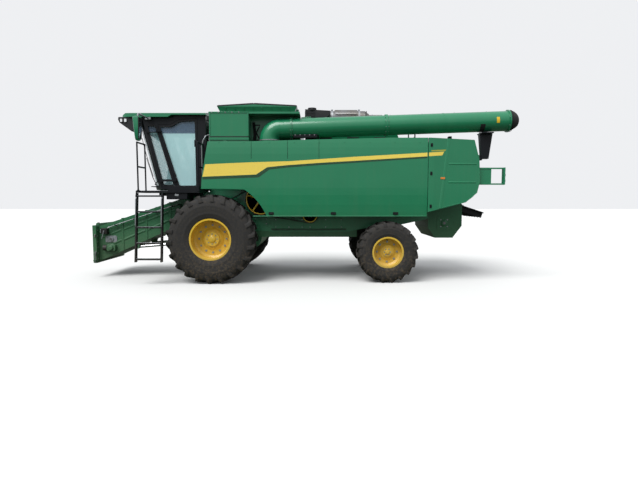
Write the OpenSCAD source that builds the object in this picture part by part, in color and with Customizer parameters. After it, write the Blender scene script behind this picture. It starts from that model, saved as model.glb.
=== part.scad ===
// Self-propelled combine harvester with a bare feeder house, parked on its wheels.
// Millimetres. The machine drives towards -X, its left side with the cab door is -Y, +Z is up.
// The origin is on the ground under the middle of the machine.

/* [Chassis] */
// Front axle's place along the machine
front_axle_x = -1800; // [-1830:10:-1770]
// Distance between the axles
wheelbase = 3700; // [3650:10:3750]
// Half width of the threshing body
body_half = 750; // [730:5:760]
// Height of the threshing body's flat floor
body_floor_z = 1040; // [1030:5:1060]
// Height of the threshing body's roof
body_top_z = 2300; // [2280:5:2320]
// Rear face of the threshing body
body_rear_x = 2900; // [2880:5:2920]
// Front face of the nose that takes the feeder house
nose_x = -2350; // [-2360:5:-2340]
// Height of the nose's roof
nose_top_z = 1930; // [1920:5:1940]
// Frame rail width
rail_w = 80; // [60:5:85]
// Frame rail depth
rail_h = 120; // [80:5:140]
// Radius of the rear hitch's pin hole
hitch_r = 16; // [13:1:20]
// Thickness of the rear hitch
hitch_t = 32; // [25:1:40]
// Cleaning fan housing radius
fan_r = 330; // [300:5:350]
// Height of the cleaning fan's shaft
fan_z = 930; // [910:5:950]
// Cleaning fan's place along the machine
fan_x = -1180; // [-1220:5:-1160]
// Half width of the cleaning fan housing
fan_half = 640; // [600:5:645]

/* [Front wheels] */
// Radius over the front tyre's lugs
front_tyre_r = 930; // [900:5:935]
// Front tyre width
front_tyre_w = 680; // [620:10:690]
// Front rim radius at the bead
front_rim_r = 415; // [390:5:430]
// Distance between the front tyres' centres
front_track = 2700; // [2680:10:2720]
// Front spindle radius
front_spindle_r = 60; // [50:2:70]
// Front axle beam height
front_beam_h = 260; // [220:10:270]

/* [Rear wheels] */
// Radius over the rear tyre's lugs
rear_tyre_r = 650; // [620:5:655]
// Rear tyre width
rear_tyre_w = 460; // [420:10:470]
// Rear rim radius at the bead
rear_rim_r = 310; // [300:5:320]
// Distance between the rear tyres' centres
rear_track = 2600; // [2580:10:2620]
// Rear spindle radius
rear_spindle_r = 40; // [34:2:44]
// Distance between the kingpins
kingpin_span = 2000; // [1980:10:2010]
// Kingpin radius
kingpin_r = 35; // [30:1:38]
// Steering arm length behind the kingpin
steer_arm = 200; // [180:5:210]
// Rear axle beam height
rear_beam_h = 160; // [140:10:180]

/* [Feeder house] */
// Feeder pivot's place along the machine
feeder_pivot_x = -2420; // [-2430:5:-2410]
// Feeder pivot's height
feeder_pivot_z = 1600; // [1590:5:1610]
// Half width of the feeder house
feeder_half = 620; // [600:5:630]
// Feeder house wall thickness
feeder_wall = 40; // [25:5:45]
// Front of the feeder's face frame
feeder_face_x = -4640; // [-4660:10:-4620]
// Depth of the face frame
face_depth = 80; // [60:5:100]
// Half width of the face frame
face_half = 760; // [740:5:780]
// Bottom of the face frame
face_low_z = 330; // [320:5:350]
// Top of the face frame
face_high_z = 1180; // [1170:5:1200]
// Feeder drum radius
drum_r = 170; // [150:5:180]
// Feeder drum shaft radius
drum_shaft_r = 30; // [25:1:35]
// Lift cylinder's distance from the middle plane
lift_y = 560; // [540:5:570]
// Lift cylinder barrel radius
lift_r = 50; // [42:2:56]
// Lift cylinder rod radius
lift_rod_r = 32; // [26:2:36]
// Lift cylinder pin radius
lift_pin_r = 25; // [20:1:28]

/* [Cab] */
// Half width of the cab
cab_half = 950; // [940:5:960]
// Rear wall of the cab
cab_rear_x = -2005; // [-2010:5:-2000]
// Cab floor's underside
cab_floor_z = 1980; // [1975:5:1990]
// Top of the cab's front corner, along the machine
cab_corner_x = -3350; // [-3370:5:-3330]
// Top of the cab frame
cab_top_z = 3530; // [3525:5:3540]
// Depth of the cab frame over the side glass
cab_header = 130; // [120:5:140]
// How far the corner post leans forward over its height, as a slope
cab_lean = 0.25; // [0.23:0.01:0.27]
// How far the windscreen bulges ahead of the corner posts
screen_bulge = 340; // [320:5:350]
// Cab wall and post thickness
cab_wall = 60; // [50:5:65]
// Width of the door frame around its glass
door_edge = 42; // [36:2:54]
// Width of the post between the door and the narrow window
post_w = 48; // [40:2:75]
// Width of the corner post beside the windscreen
corner_w = 62; // [54:2:90]
// Glass thickness
glass_t = 10; // [6:1:12]
// Slope of the door's front edge
door_lean = 0.287; // [0.27:0.005:0.3]
// Top of the door's front edge, along the machine
door_front_x = -3050; // [-3060:5:-3040]
// Rear edge of the door
door_rear_x = -2185; // [-2190:5:-2175]
// Roof cap's front edge
roof_front_x = -3850; // [-3860:5:-3840]
// Half width of the roof cap
roof_half = 1040; // [1020:5:1050]
// Roof cap thickness at its side edge
roof_side_h = 75; // [65:5:85]
// Rise of the roof's crown over its side edge
roof_crown = 120; // [100:5:130]

/* [Platform and ladder] */
// Top of the platform beside the cab
platform_z = 1940; // [1930:5:1945]
// Platform plate thickness
platform_t = 40; // [30:5:45]
// Outer edge of the platform from the middle plane
platform_y = 1480; // [1460:5:1485]
// Front edge of the platform
platform_x0 = -3340; // [-3345:5:-3330]
// Rear edge of the platform
platform_x1 = -2040; // [-2050:5:-2035]
// Handrail tube radius
rail_r = 17; // [14:1:20]
// Height of the handrails over the platform
handrail_h = 1000; // [950:10:1050]
// Width of the ladder between its stringers
ladder_w = 500; // [460:10:510]
// Height of the ladder's foot
ladder_foot_z = 480; // [460:10:520]
// Number of ladder steps
ladder_steps = 5; // [4:1:6]

/* [Grain tank] */
// Front wall of the grain tank
tank_x0 = -1830; // [-1840:5:-1820]
// Rear wall of the grain tank
tank_x1 = 50; // [45:5:55]
// Half width of the grain tank
tank_half = 1400; // [1390:5:1405]
// Top of the grain tank's box
tank_top_z = 3573; // [3560:1:3580]
// Grain tank wall thickness
tank_wall = 50; // [40:5:55]
// Inset of the rim's front from the tank's front wall
rim_front = 220; // [210:5:230]
// Inset of the rim's rear from the tank's rear wall
rim_rear = 110; // [100:5:120]
// Inset of the rim's sides from the tank's side walls
rim_side_in = 60; // [50:5:65]
// Outward flare of the rim
rim_flare = 50; // [40:5:55]
// Rim wall thickness
rim_wall = 30; // [25:1:35]
// Height of the rim at the tank's front and rear
rim_h = 104; // [95:1:110]
// Rise of the lids' ridge over their hinges
ridge_rise = 44; // [35:2:55]
// Ridge's place along the machine
ridge_x = -905; // [-930:5:-880]
// Lid plate thickness
lid_t = 24; // [18:2:28]
// Front wall of the recess for the unloading turret
recess_x0 = -1010; // [-1020:5:-1000]
// Gap between the unloading tube and the recess's back wall
recess_gap = 37; // [35:1:40]
// Floor of the recess
recess_z = 2600; // [2590:5:2610]

/* [Unloading auger] */
// Turret axis along the machine
turret_x = -600; // [-610:5:-590]
// Turret axis from the tank's side
turret_in = 210; // [205:5:215]
// Height of the swing ring
swing_z = 2990; // [2985:5:2995]
// Unloading tube radius
tube_r = 208; // [200:2:210]
// Unloading tube wall
tube_wall = 8; // [5:1:12]
// Radius of the elbow's centre line
bend_r = 235; // [230:5:240]
// Height of the tube's centre line over the turret
tube_z = 3245; // [3235:5:3255]
// Rise of the tube towards its end, in degrees
tube_rise = 2; // [1.8:0.1:2.2]
// End of the tube along the machine
tube_end_x = 4455; // [4445:5:4465]
// Radius of the mouth under the rubber spout
spout_mouth = 100; // [90:5:105]
// Wall of the rubber spout
spout_wall = 14; // [10:1:18]

/* [Engine deck] */
// Top of the engine deck
deck_z = 2950; // [2940:5:2955]
// Deck plate thickness
deck_t = 50; // [40:5:60]
// How far the deck's edge stands in from the tank's side
deck_inset = 5; // [0:1:10]
// Top of the engine's cover
cover_z = 3200; // [3180:5:3210]
// Outer face of the radiator box
cooling_y = 1290; // [1280:5:1295]
// Front of the engine
engine_x0 = 300; // [280:10:320]
// Engine length
engine_l = 1200; // [1100:20:1250]
// Engine width
engine_w = 860; // [760:20:880]
// Exhaust canister radius
exhaust_r = 160; // [145:5:165]
// Height of the exhaust canister's axis
exhaust_z = 3565; // [3550:5:3575]
// Rotary screen radius
screen_r = 460; // [430:5:470]
// Rotary screen's width
screen_w = 100; // [90:5:105]
// Rotary screen's place along the machine
screen_x = 900; // [880:5:920]
// Height of the rotary screen's shaft
screen_z = 2400; // [2390:5:2410]

/* [Side shields] */
// How far the side shields stand out from the tank's side
shield_out = 100; // [95:5:105]
// Shield thickness at its thick lower part
shield_t = 60; // [50:5:60]
// Front edge of the side shields
shield_x0 = -1850; // [-1855:5:-1840]
// How far the shield's lower front corner runs ahead of its top
shield_lean = 150; // [130:10:160]
// Rear edge of the side shields
shield_x1 = 2705; // [2690:5:2710]
// Bottom of the side shields behind the front wheel
shield_low_z = 1400; // [1390:5:1450]
// Height of the shields' hinge line
shield_hinge_z = 2965; // [2962:1:2968]

/* [Rear hood and chopper] */
// Place where the hood's sides begin to draw in
hood_bend_x = 2830; // [2800:10:2860]
// How far each side of the hood draws in at its rear end
hood_taper = 110; // [90:5:130]
// Rear end of the hood at its widest
hood_rear_x = 3830; // [3810:5:3840]
// Hood wall thickness
hood_wall = 50; // [40:5:55]
// Gap between the hood and the side shields
panel_gap = 10; // [8:1:14]
// Chopper rotor's place along the machine
rotor_x = 3260; // [3250:5:3270]
// Height of the chopper rotor's shaft
rotor_z = 1230; // [1220:5:1240]
// Radius over the chopper's knives
rotor_r = 250; // [230:5:255]
// Half width of the chopper housing
chopper_half = 730; // [710:5:740]
// Chopper side plate thickness
chopper_wall = 30; // [20:5:35]
// Chopper shaft radius
rotor_shaft_r = 30; // [25:1:35]
// Tailboard length
tailboard_l = 560; // [500:10:600]

/* [Fits] */
// Gap where one fixed piece seats on another
seat_gap = 0.3; // [0.2:0.1:0.5]
// Gap between pieces that move past each other
run_gap = 6; // [6:1:8]
// Radial clearance of a shaft in its bore
bore_gap = 0.05; // [0.03:0.01:0.1]

/* [Hidden] */
$fn = 64;

rear_axle_x = front_axle_x + wheelbase;
front_wheel_y = front_track / 2;
rear_wheel_y = rear_track / 2;
kingpin_y = kingpin_span / 2;
turret_y = tank_half - turret_in;
recess_y = turret_y - tube_r - recess_gap;
fork_in = 150;
fork_w = 60;
hub_gap = run_gap;
cab_glass_top = cab_top_z - cab_header;

// Underside of the threshing body from front to rear, as place and height
body_floor = [
    [nose_x, 1300],
    [front_axle_x + 300, body_floor_z + 60],
    [front_axle_x + 1200, body_floor_z],
    [rear_axle_x - 800, body_floor_z],
    [rear_axle_x - 400, body_floor_z + 80],
    [rear_axle_x + 400, body_floor_z + 160],
    [body_rear_x, body_floor_z + 290]];

// Feeder house side outline: rear end, then the duct's front end
duct_rear_x = feeder_pivot_x + 40;
duct_front_x = feeder_face_x + face_depth;
duct_top_rear = feeder_pivot_z + 270;
duct_low_rear = feeder_pivot_z - 270;
duct_top_front = face_high_z - 30;
duct_low_front = face_low_z + 30;

// Colours
machine_green = [0.08, 0.36, 0.20];
rim_yellow = [0.93, 0.76, 0.10];
black_paint = [0.05, 0.05, 0.06];
tyre_black = [0.03, 0.03, 0.03];
glass_tint = [0.62, 0.80, 0.82, 0.4];
steel_grey = [0.55, 0.56, 0.57];
silver_steel = [0.75, 0.76, 0.77];

// Box between two corners
module block(x0, x1, y0, y1, z0, z1) {
    translate([x0, y0, z0]) cube([x1 - x0, y1 - y0, z1 - z0]);
}

// Side outline in X and Z, from y0 to y1
module side_plate(y0, y1, outline) {
    translate([0, y1, 0]) rotate([90, 0, 0]) linear_extrude(y1 - y0) polygon(outline);
}

// Cross outline in Y and Z, from x0 to x1
module cross_plate(x0, x1, outline) {
    translate([x0, 0, 0]) rotate([90, 0, 90]) linear_extrude(x1 - x0) polygon(outline);
}

// Cylinder along Y
module bar_y(x, z, y0, y1, r) {
    translate([x, y0, z]) rotate([-90, 0, 0]) cylinder(h = y1 - y0, r = r);
}

// Cylinder along X
module bar_x(y, z, x0, x1, r) {
    translate([x0, y, z]) rotate([0, 90, 0]) cylinder(h = x1 - x0, r = r);
}

// Cylinder along Z
module bar_z(x, y, z0, z1, r) {
    translate([x, y, z0]) cylinder(h = z1 - z0, r = r);
}

// Round rod between two points
module rod(a, b, r) {
    d = b - a;
    translate(a) rotate([0, acos(d.z / norm(d)), atan2(d.y, d.x)]) cylinder(h = norm(d), r = r);
}

// The children and their mirror image on the other side of the machine
module both_sides() {
    children();
    mirror([0, 1, 0]) children();
}

// The left side takes the mirror image of the right
module on_side(left) {
    if (left) {
        mirror([0, 1, 0]) children();
    } else {
        children();
    }
}

function floor_at(x) = lookup(x, body_floor);

// Floor line of the body between two places
function floor_line(x0, x1) = concat([[x0, floor_at(x0)]],
    [for (p = body_floor) if (p.x > x0 && p.x < x1) p], [[x1, floor_at(x1)]]);

// Places along a circle, as points
function arc(cx, cy, r, a0, a1, n) =
    [for (i = [0:n]) let (a = a0 + (a1 - a0) * i / n) [cx + r * cos(a), cy + r * sin(a)]];

// Threshing body with the nose, the inlet for the feeder house and the cleaning fan's housing
module separator_body() {
    inlet_half = feeder_half + 30;
    color(machine_green) difference() {
        union() {
            side_plate(-body_half, body_half, concat(body_floor, [
                [body_rear_x, body_top_z],
                [cab_rear_x + 15, body_top_z],
                [cab_rear_x + 15, nose_top_z],
                [nose_x, nose_top_z]]));
            bar_y(fan_x, fan_z, -fan_half, fan_half, fan_r);
            both_sides() side_plate(body_half - 64, body_half - 34, [
                [nose_x + 1, feeder_pivot_z - 160], [feeder_pivot_x - 60, feeder_pivot_z - 60],
                [feeder_pivot_x - 60, feeder_pivot_z + 60], [nose_x + 1, feeder_pivot_z + 160]]);
        }
        bar_y(feeder_pivot_x, feeder_pivot_z, -body_half, body_half, pivot_r + bore_gap);
        block(nose_x - 10, nose_x + 300, -inlet_half, inlet_half, 1265, nose_top_z - 30);
        bar_y(fan_x, fan_z, -fan_half + 20, fan_half - 20, fan_r - 20);
        bar_y(fan_x, fan_z, -fan_half - 10, fan_half + 10, fan_r * 0.62);
    }
    color(machine_green) both_sides() difference() {
        union() {
            block(fan_x - 20, fan_x + 20, fan_half - 20, fan_half,
                fan_z - fan_r * 0.66, fan_z + fan_r * 0.66);
            bar_y(fan_x, fan_z, fan_half - 20, fan_half + 20, 45);
        }
        bar_y(fan_x, fan_z, fan_half - 30, fan_half + 30, 20 + bore_gap);
    }
}

// Paddle fan between the two side inlets of its housing
module cleaning_fan() {
    paddle_r = fan_r - 20 - run_gap - 14;
    color(steel_grey) {
        bar_y(fan_x, fan_z, -fan_half - 12, fan_half + 12, 20);
        for (a = [0:60:300]) translate([fan_x, 0, fan_z]) rotate([0, a, 0])
            block(15, paddle_r, -fan_half + 60, fan_half - 60, -4, 4);
        for (y = [-fan_half + 60, -10, fan_half - 80])
            bar_y(fan_x, fan_z, y, y + 20, 90);
    }
}

hitch_x = rear_axle_x + 530;
hitch_z = rear_tyre_r + 70;

// Frame rails beside the body, the rear axle's hanger and the cab's carrying beams
module main_frame() {
    rail_x0 = nose_x + 400;
    rail_x1 = rear_axle_x - 600;
    beam_top = front_tyre_r + front_beam_h / 2;
    color(machine_green) {
        both_sides() side_plate(body_half - 10 - rail_w, body_half - 10, concat(
            floor_line(rail_x0, rail_x1),
            [[rail_x1, body_floor_z - rail_h], [front_axle_x + 400, body_floor_z - rail_h],
             [front_axle_x + 250, beam_top], [rail_x0, beam_top]]));
        difference() {
            side_plate(-300, 300, concat(floor_line(rear_axle_x - 200, rear_axle_x + 200),
                [[rear_axle_x + 130, rear_tyre_r - 40], [rear_axle_x - 130, rear_tyre_r - 40]]));
            block(rear_axle_x - 96, rear_axle_x + 96, -310, 310, 0, rear_tyre_r + rear_beam_h / 2 + 40);
            bar_x(0, rear_tyre_r, rear_axle_x - 300, rear_axle_x + 300, 50 + bore_gap);
        }
        both_sides() block(cab_corner_x + 250, nose_x, feeder_half + 30, feeder_half + 110,
            cab_floor_z - 120, cab_floor_z - seat_gap);
        difference() {
            block(rear_axle_x + 110, hitch_x + 50, -70, 70, hitch_z, hitch_z + hitch_t);
            bar_z(hitch_x, 0, hitch_z - 10, hitch_z + hitch_t + 10, hitch_r);
        }
    }
}

// Driven front axle: beam, gearbox, final drives and spindles
module front_axle() {
    z = front_tyre_r;
    drive_y0 = body_half + 30;
    drive_y1 = front_wheel_y - front_tyre_w / 2 - 30;
    spindle_end = front_wheel_y + 60;
    color(machine_green) {
        union() {
            block(front_axle_x - 120, front_axle_x + 120, -drive_y0 - 10, drive_y0 + 10,
                z - front_beam_h / 2, z + front_beam_h / 2);
            both_sides() {
                side_plate(drive_y0, drive_y1, concat(
                    arc(front_axle_x, z, 240, 180, 360, 12),
                    arc(front_axle_x + 40, z + 240, 180, 0, 180, 10)));
                bar_y(front_axle_x, z, drive_y1 - 1, drive_y1 + 160, 220);
                bar_y(front_axle_x, z, drive_y1, spindle_end, front_spindle_r);
            }
            bar_y(front_axle_x, z, -220, 220, 190);
        }
        both_sides() for (side = [-1, 1])
            lift_ear(lift_y + side * (lift_r + run_gap + 8));
        both_sides() bar_y(lift_foot_x, lift_foot_z, lift_y - lift_r - 8, lift_y + lift_r + 8, lift_pin_r);
    }
}

lift_foot_x = front_axle_x - 210;
lift_foot_z = front_tyre_r - 110;

// One of the two ears that hold a lift cylinder's foot
module lift_ear(y) {
    side_plate(y - 8, y + 8, [
        [front_axle_x - 119, lift_foot_z - 20],
        [front_axle_x - 119, lift_foot_z + 90],
        [lift_foot_x - 45, lift_foot_z + 45],
        [lift_foot_x - 45, lift_foot_z - 45]]);
}

// Steered rear axle beam with its kingpins
module rear_axle() {
    z = rear_tyre_r;
    fork_y = kingpin_y - fork_in;
    color(machine_green) {
        cross_plate(rear_axle_x - 90, rear_axle_x + 90, [
            [-fork_y + 39, z - 60], [-200, z - rear_beam_h / 2], [200, z - rear_beam_h / 2],
            [fork_y - 39, z - 60], [fork_y - 39, z + 60], [200, z + rear_beam_h / 2],
            [-200, z + rear_beam_h / 2], [-fork_y + 39, z + 60]]);
        bar_x(0, z, rear_axle_x - 180, rear_axle_x - 89, 50);
        bar_x(0, z, rear_axle_x + 89, rear_axle_x + 180, 50);
        both_sides() {
            block(rear_axle_x - fork_w, rear_axle_x + fork_w, fork_y - 40, fork_y, z - 140, z + 140);
            for (low = [z - 140, z + 100]) {
                block(rear_axle_x - fork_w, rear_axle_x + fork_w, fork_y - 1, kingpin_y, low, low + 40);
                bar_z(rear_axle_x, kingpin_y, low, low + 40, 75);
            }
            bar_z(rear_axle_x, kingpin_y, z - 120, z + 120, kingpin_r);
        }
    }
}

// Steering knuckle with its spindle and arm
module knuckle(left) {
    z = rear_tyre_r;
    arm_end = [rear_axle_x + steer_arm, kingpin_y - 50];
    on_side(left) color(machine_green) difference() {
        union() {
            bar_z(rear_axle_x, kingpin_y, z - 98, z + 98, 72);
            bar_y(rear_axle_x, z, kingpin_y + 40, rear_wheel_y + 50, rear_spindle_r);
            bar_y(rear_axle_x, z, kingpin_y + 20, kingpin_y + 100, 66);
            linear_arm([rear_axle_x, kingpin_y], arm_end, z - 60, z - 36, 42);
        }
        bar_z(rear_axle_x, kingpin_y, z - 200, z + 200, kingpin_r + bore_gap);
        bar_z(arm_end.x, arm_end.y, z - 200, z + 200, 14 + bore_gap);
    }
}

module knuckle_left() { knuckle(true); }
module knuckle_right() { knuckle(false); }

// Flat arm with round ends between two places, from z0 to z1
module linear_arm(a, b, z0, z1, r) {
    d = b - a;
    turn = atan2(d.y, d.x);
    translate([a.x, a.y, z0]) rotate([0, 0, turn]) linear_extrude(z1 - z0)
        polygon(concat([[0, -r], [norm(d), -r * 0.7]], arc(norm(d), 0, r * 0.7, -80, 80, 8),
            [[norm(d), r * 0.7], [0, r]]));
}

// Tie rod under the two steering arms
module tie_rod() {
    z = rear_tyre_r - 60 - seat_gap;
    x = rear_axle_x + steer_arm;
    y = kingpin_y - 50;
    color(steel_grey) {
        bar_y(x, z - 22, -y + 20, y - 20, 18);
        both_sides() bar_z(x, y, z - 40, z, 30);
    }
}

// Pneumatic tyre around a rim, with its outer side towards +Y
module tyre(tyre_r, tyre_w, rim_r) {
    bead = tyre_w * 0.405;
    color(tyre_black) rotate([-90, 0, 0]) rotate_extrude($fn = 96) polygon(concat(
        [[rim_r + seat_gap, -bead]],
        arc(rim_r + (tyre_r - rim_r) * 0.5, -tyre_w * 0.36, tyre_w * 0.14, 210, 330, 6),
        [[tyre_r - 34, -tyre_w * 0.44], [tyre_r, -tyre_w * 0.36], [tyre_r, tyre_w * 0.36],
         [tyre_r - 34, tyre_w * 0.44]],
        arc(rim_r + (tyre_r - rim_r) * 0.5, tyre_w * 0.36, tyre_w * 0.14, 30, 150, 6),
        [[rim_r + seat_gap, bead]]));
}

// Rim barrel with its dished disc and hub
module rim(rim_r, tyre_w, hub_r, spindle_r, hub_y0, hub_y1, disc_y) {
    bead = tyre_w * 0.42;
    color(rim_yellow) rotate([-90, 0, 0]) difference() {
        union() {
            rotate_extrude($fn = 96) polygon([
                [rim_r - 14, -bead - 14], [rim_r + 20, -bead - 14], [rim_r + 20, -bead],
                [rim_r, -bead], [rim_r, bead], [rim_r + 20, bead], [rim_r + 20, bead + 14],
                [rim_r - 14, bead + 14], [rim_r - 14, disc_y + 50], [rim_r - 60, disc_y + 18],
                [hub_r + 90, disc_y + 18], [hub_r + 40, disc_y + 50], [hub_r, disc_y + 50],
                [hub_r, hub_y1], [0, hub_y1], [0, hub_y0], [hub_r, hub_y0], [hub_r, disc_y + 20],
                [hub_r + 28, disc_y + 20], [hub_r + 78, disc_y], [rim_r - 50, disc_y],
                [rim_r - 14, disc_y + 20]]);
        }
        translate([0, 0, hub_y0 - 10]) cylinder(h = hub_y1 - hub_y0 - 20, r = spindle_r + bore_gap);
    }
}

module front_wheel_place(left) {
    on_side(left) translate([front_axle_x, front_wheel_y, front_tyre_r]) children();
}

module rear_wheel_place(left) {
    on_side(left) translate([rear_axle_x, rear_wheel_y, rear_tyre_r]) children();
}

module front_tyre(left) {
    front_wheel_place(left) tyre(front_tyre_r, front_tyre_w, front_rim_r);
}

module front_rim(left) {
    hub_y0 = -front_tyre_w / 2 - 30 + 160 + hub_gap;
    front_wheel_place(left) rim(front_rim_r, front_tyre_w, 150, front_spindle_r, hub_y0, 100, 0);
}

module rear_tyre(left) {
    rear_wheel_place(left) tyre(rear_tyre_r, rear_tyre_w, rear_rim_r);
}

module rear_rim(left) {
    hub_y0 = kingpin_y + 100 + hub_gap - rear_wheel_y;
    rear_wheel_place(left) rim(rear_rim_r, rear_tyre_w, 95, rear_spindle_r, hub_y0, 90, 0);
}

module front_tyre_left() { front_tyre(true); }
module front_tyre_right() { front_tyre(false); }
module front_rim_left() { front_rim(true); }
module front_rim_right() { front_rim(false); }
module rear_tyre_left() { rear_tyre(true); }
module rear_tyre_right() { rear_tyre(false); }
module rear_rim_left() { rear_rim(true); }
module rear_rim_right() { rear_rim(false); }

// Middle of the feeder house's duct at a place along the machine
function duct_mid(x) = lookup(x, [
    [duct_front_x, (duct_top_front + duct_low_front) / 2],
    [duct_rear_x, (duct_top_rear + duct_low_rear) / 2]]);

drum_x = duct_front_x + 280;
drum_z = duct_mid(drum_x);

// Tapered duct of the feeder house with its pivot stubs and the lugs for the lift rods
module feeder_house() {
    t = feeder_wall;
    color(machine_green) {
        difference() {
            union() {
                side_plate(-feeder_half, feeder_half, [
                    [duct_rear_x, duct_low_rear], [duct_front_x, duct_low_front],
                    [duct_front_x, duct_top_front], [duct_rear_x, duct_top_rear]]);
                for (x = [0.25, 0.5, 0.75]) duct_rib(x);
            }
            side_plate(-feeder_half + t, feeder_half - t, [
                [duct_rear_x + 10, duct_low_rear + t], [duct_front_x - 10, duct_low_front + t],
                [duct_front_x - 10, duct_top_front - t], [duct_rear_x + 10, duct_top_rear - t]]);
            bar_y(drum_x, drum_z, -feeder_half - 50, feeder_half + 50, drum_shaft_r + bore_gap);
        }
        both_sides() bar_y(feeder_pivot_x, feeder_pivot_z, feeder_half - 1, feeder_half + 70, pivot_r);
        both_sides() for (y = [lift_y - lug_y, lift_y + lug_y])
            side_plate(y - 8, y + 8, [
                [rod_eye_x - 70, duct_low(rod_eye_x - 70)], [rod_eye_x + 70, duct_low(rod_eye_x + 70)],
                [rod_eye_x + 30, rod_eye_z - 40], [rod_eye_x - 30, rod_eye_z - 40]]);
        both_sides() bar_y(rod_eye_x, rod_eye_z, lift_y - lug_y, lift_y + lug_y, eye_pin_r);
    }
}

function duct_low(x) = lookup(x, [[duct_front_x, duct_low_front], [duct_rear_x, duct_low_rear]]);
function duct_top(x) = lookup(x, [[duct_front_x, duct_top_front], [duct_rear_x, duct_top_rear]]);

pivot_r = 35;
eye_pin_r = 17;
eye_play = 13;
lug_y = lift_rod_r + run_gap + 8;
rod_eye_x = feeder_pivot_x - 1280;
rod_eye_z = duct_low(rod_eye_x) - 60;

// Stiffening rib around the duct's top and sides at a share of its length
module duct_rib(share) {
    x = duct_rear_x + (duct_front_x - duct_rear_x) * share;
    block(x - 20, x + 20, -feeder_half - 12, feeder_half + 12, duct_low(x), duct_top(x) + 14);
}

// Frame that carries a header, with hooks on top and lock pins below
module feeder_face() {
    x0 = feeder_face_x;
    x1 = duct_front_x;
    color(machine_green) {
        difference() {
            block(x0, x1, -face_half, face_half, face_low_z, face_high_z);
            block(x0 - 10, x1 + 10, -feeder_half + feeder_wall, feeder_half - feeder_wall,
                duct_low_front + feeder_wall, duct_top_front - feeder_wall);
        }
        block(x0 + 20, x1, -feeder_half, feeder_half, face_high_z - 1, face_high_z + 40);
    }
    color(steel_grey) both_sides()
        bar_y(feeder_face_x + face_depth / 2, face_low_z + 60, face_half - 1, face_half + 70, 18);
}

// Front drum of the feeder conveyor with its slats
module feeder_drum() {
    half = feeder_half - feeder_wall - 20;
    color(steel_grey) {
        bar_y(drum_x, drum_z, -feeder_half - 40, feeder_half + 40, drum_shaft_r);
        bar_y(drum_x, drum_z, -half, half, drum_r);
        for (a = [0:60:300]) translate([drum_x, 0, drum_z]) rotate([0, a, 0])
            block(drum_r - 5, drum_r + 45, -half, half, -12, 12);
    }
}

lift_angle = atan2(rod_eye_z - lift_foot_z, lift_foot_x - rod_eye_x);
lift_length = norm([rod_eye_x - lift_foot_x, rod_eye_z - lift_foot_z]);
barrel_l = lift_length * 0.56;

// Places its children along the lift cylinder: local +X runs from the foot to the rod's eye
module lift_line() {
    both_sides() translate([lift_foot_x, lift_y, lift_foot_z]) rotate([0, 180 + lift_angle, 0]) children();
}

// Lift cylinder barrels on the front axle
module lift_barrels() {
    color(black_paint) lift_line() difference() {
        union() {
            bar_y(0, 0, -lift_r + 4, lift_r - 4, 46);
            bar_x(0, 0, 30, barrel_l, lift_r);
        }
        bar_y(0, 0, -lift_r - 10, lift_r + 10, lift_pin_r + bore_gap);
        bar_x(0, 0, 90, barrel_l + 10, lift_rod_r + bore_gap);
    }
}

// Chromed lift rods with open hooks at the feeder's lugs
module lift_rods() {
    color(silver_steel) lift_line() difference() {
        union() {
            bar_x(0, 0, 180, lift_length - 20, lift_rod_r);
            bar_y(lift_length, 0, -lift_rod_r - 1, lift_rod_r + 1, 42);
        }
        bar_y(lift_length, 0, -lift_rod_r - 10, lift_rod_r + 10, eye_pin_r + eye_play);
    }
}

// Corner line of the cab at a height
function corner_x(z) = cab_corner_x + cab_lean * (cab_glass_top - z);
// Front edge of the door at a height
function door_x(z) = door_front_x + door_lean * (cab_glass_top - 20 - z);

screen_curve_r = (cab_half * cab_half + screen_bulge * screen_bulge) / (2 * screen_bulge);
screen_tilt = atan(cab_lean);

// Leaning round column whose front is the windscreen's face, set back by a depth
module screen_column(depth) {
    front_x = cab_corner_x - screen_bulge / cos(screen_tilt);
    translate([front_x, 0, cab_glass_top]) rotate([0, -screen_tilt, 0])
        translate([screen_curve_r, 0, -2200]) cylinder(h = 3200, r = screen_curve_r - depth, $fn = 160);
}

// Side outline of the door opening, shrunk by an edge
function door_outline(e) = [
    [door_x(cab_floor_z + 30) + e, cab_floor_z + 30 + e],
    [door_rear_x - e, cab_floor_z + 30 + e],
    [door_rear_x - e, cab_top_z - 20 - e],
    [door_rear_x - 385, cab_top_z - 40 - e],
    [door_x(cab_glass_top) + 280, cab_glass_top - 20 - e],
    [door_x(cab_glass_top - 20) + e, cab_glass_top - 20 - e]];

// Side outline of the narrow window ahead of the door, shrunk by an edge
function quarter_outline(e) = [
    [corner_x(cab_floor_z + 90) + corner_w + e, cab_floor_z + 90 + e],
    [door_x(cab_floor_z + 90) - post_w - e, cab_floor_z + 90 + e],
    [door_x(cab_glass_top - 40) - post_w - e, cab_glass_top - 40 - e],
    [corner_x(cab_glass_top - 40) + corner_w + e, cab_glass_top - 40 - e]];

screen_half = cab_half - 90;
screen_low = cab_floor_z + 90;
screen_high = cab_glass_top - 20;
rear_window = [720, cab_floor_z + 620, cab_glass_top - 20];

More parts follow.
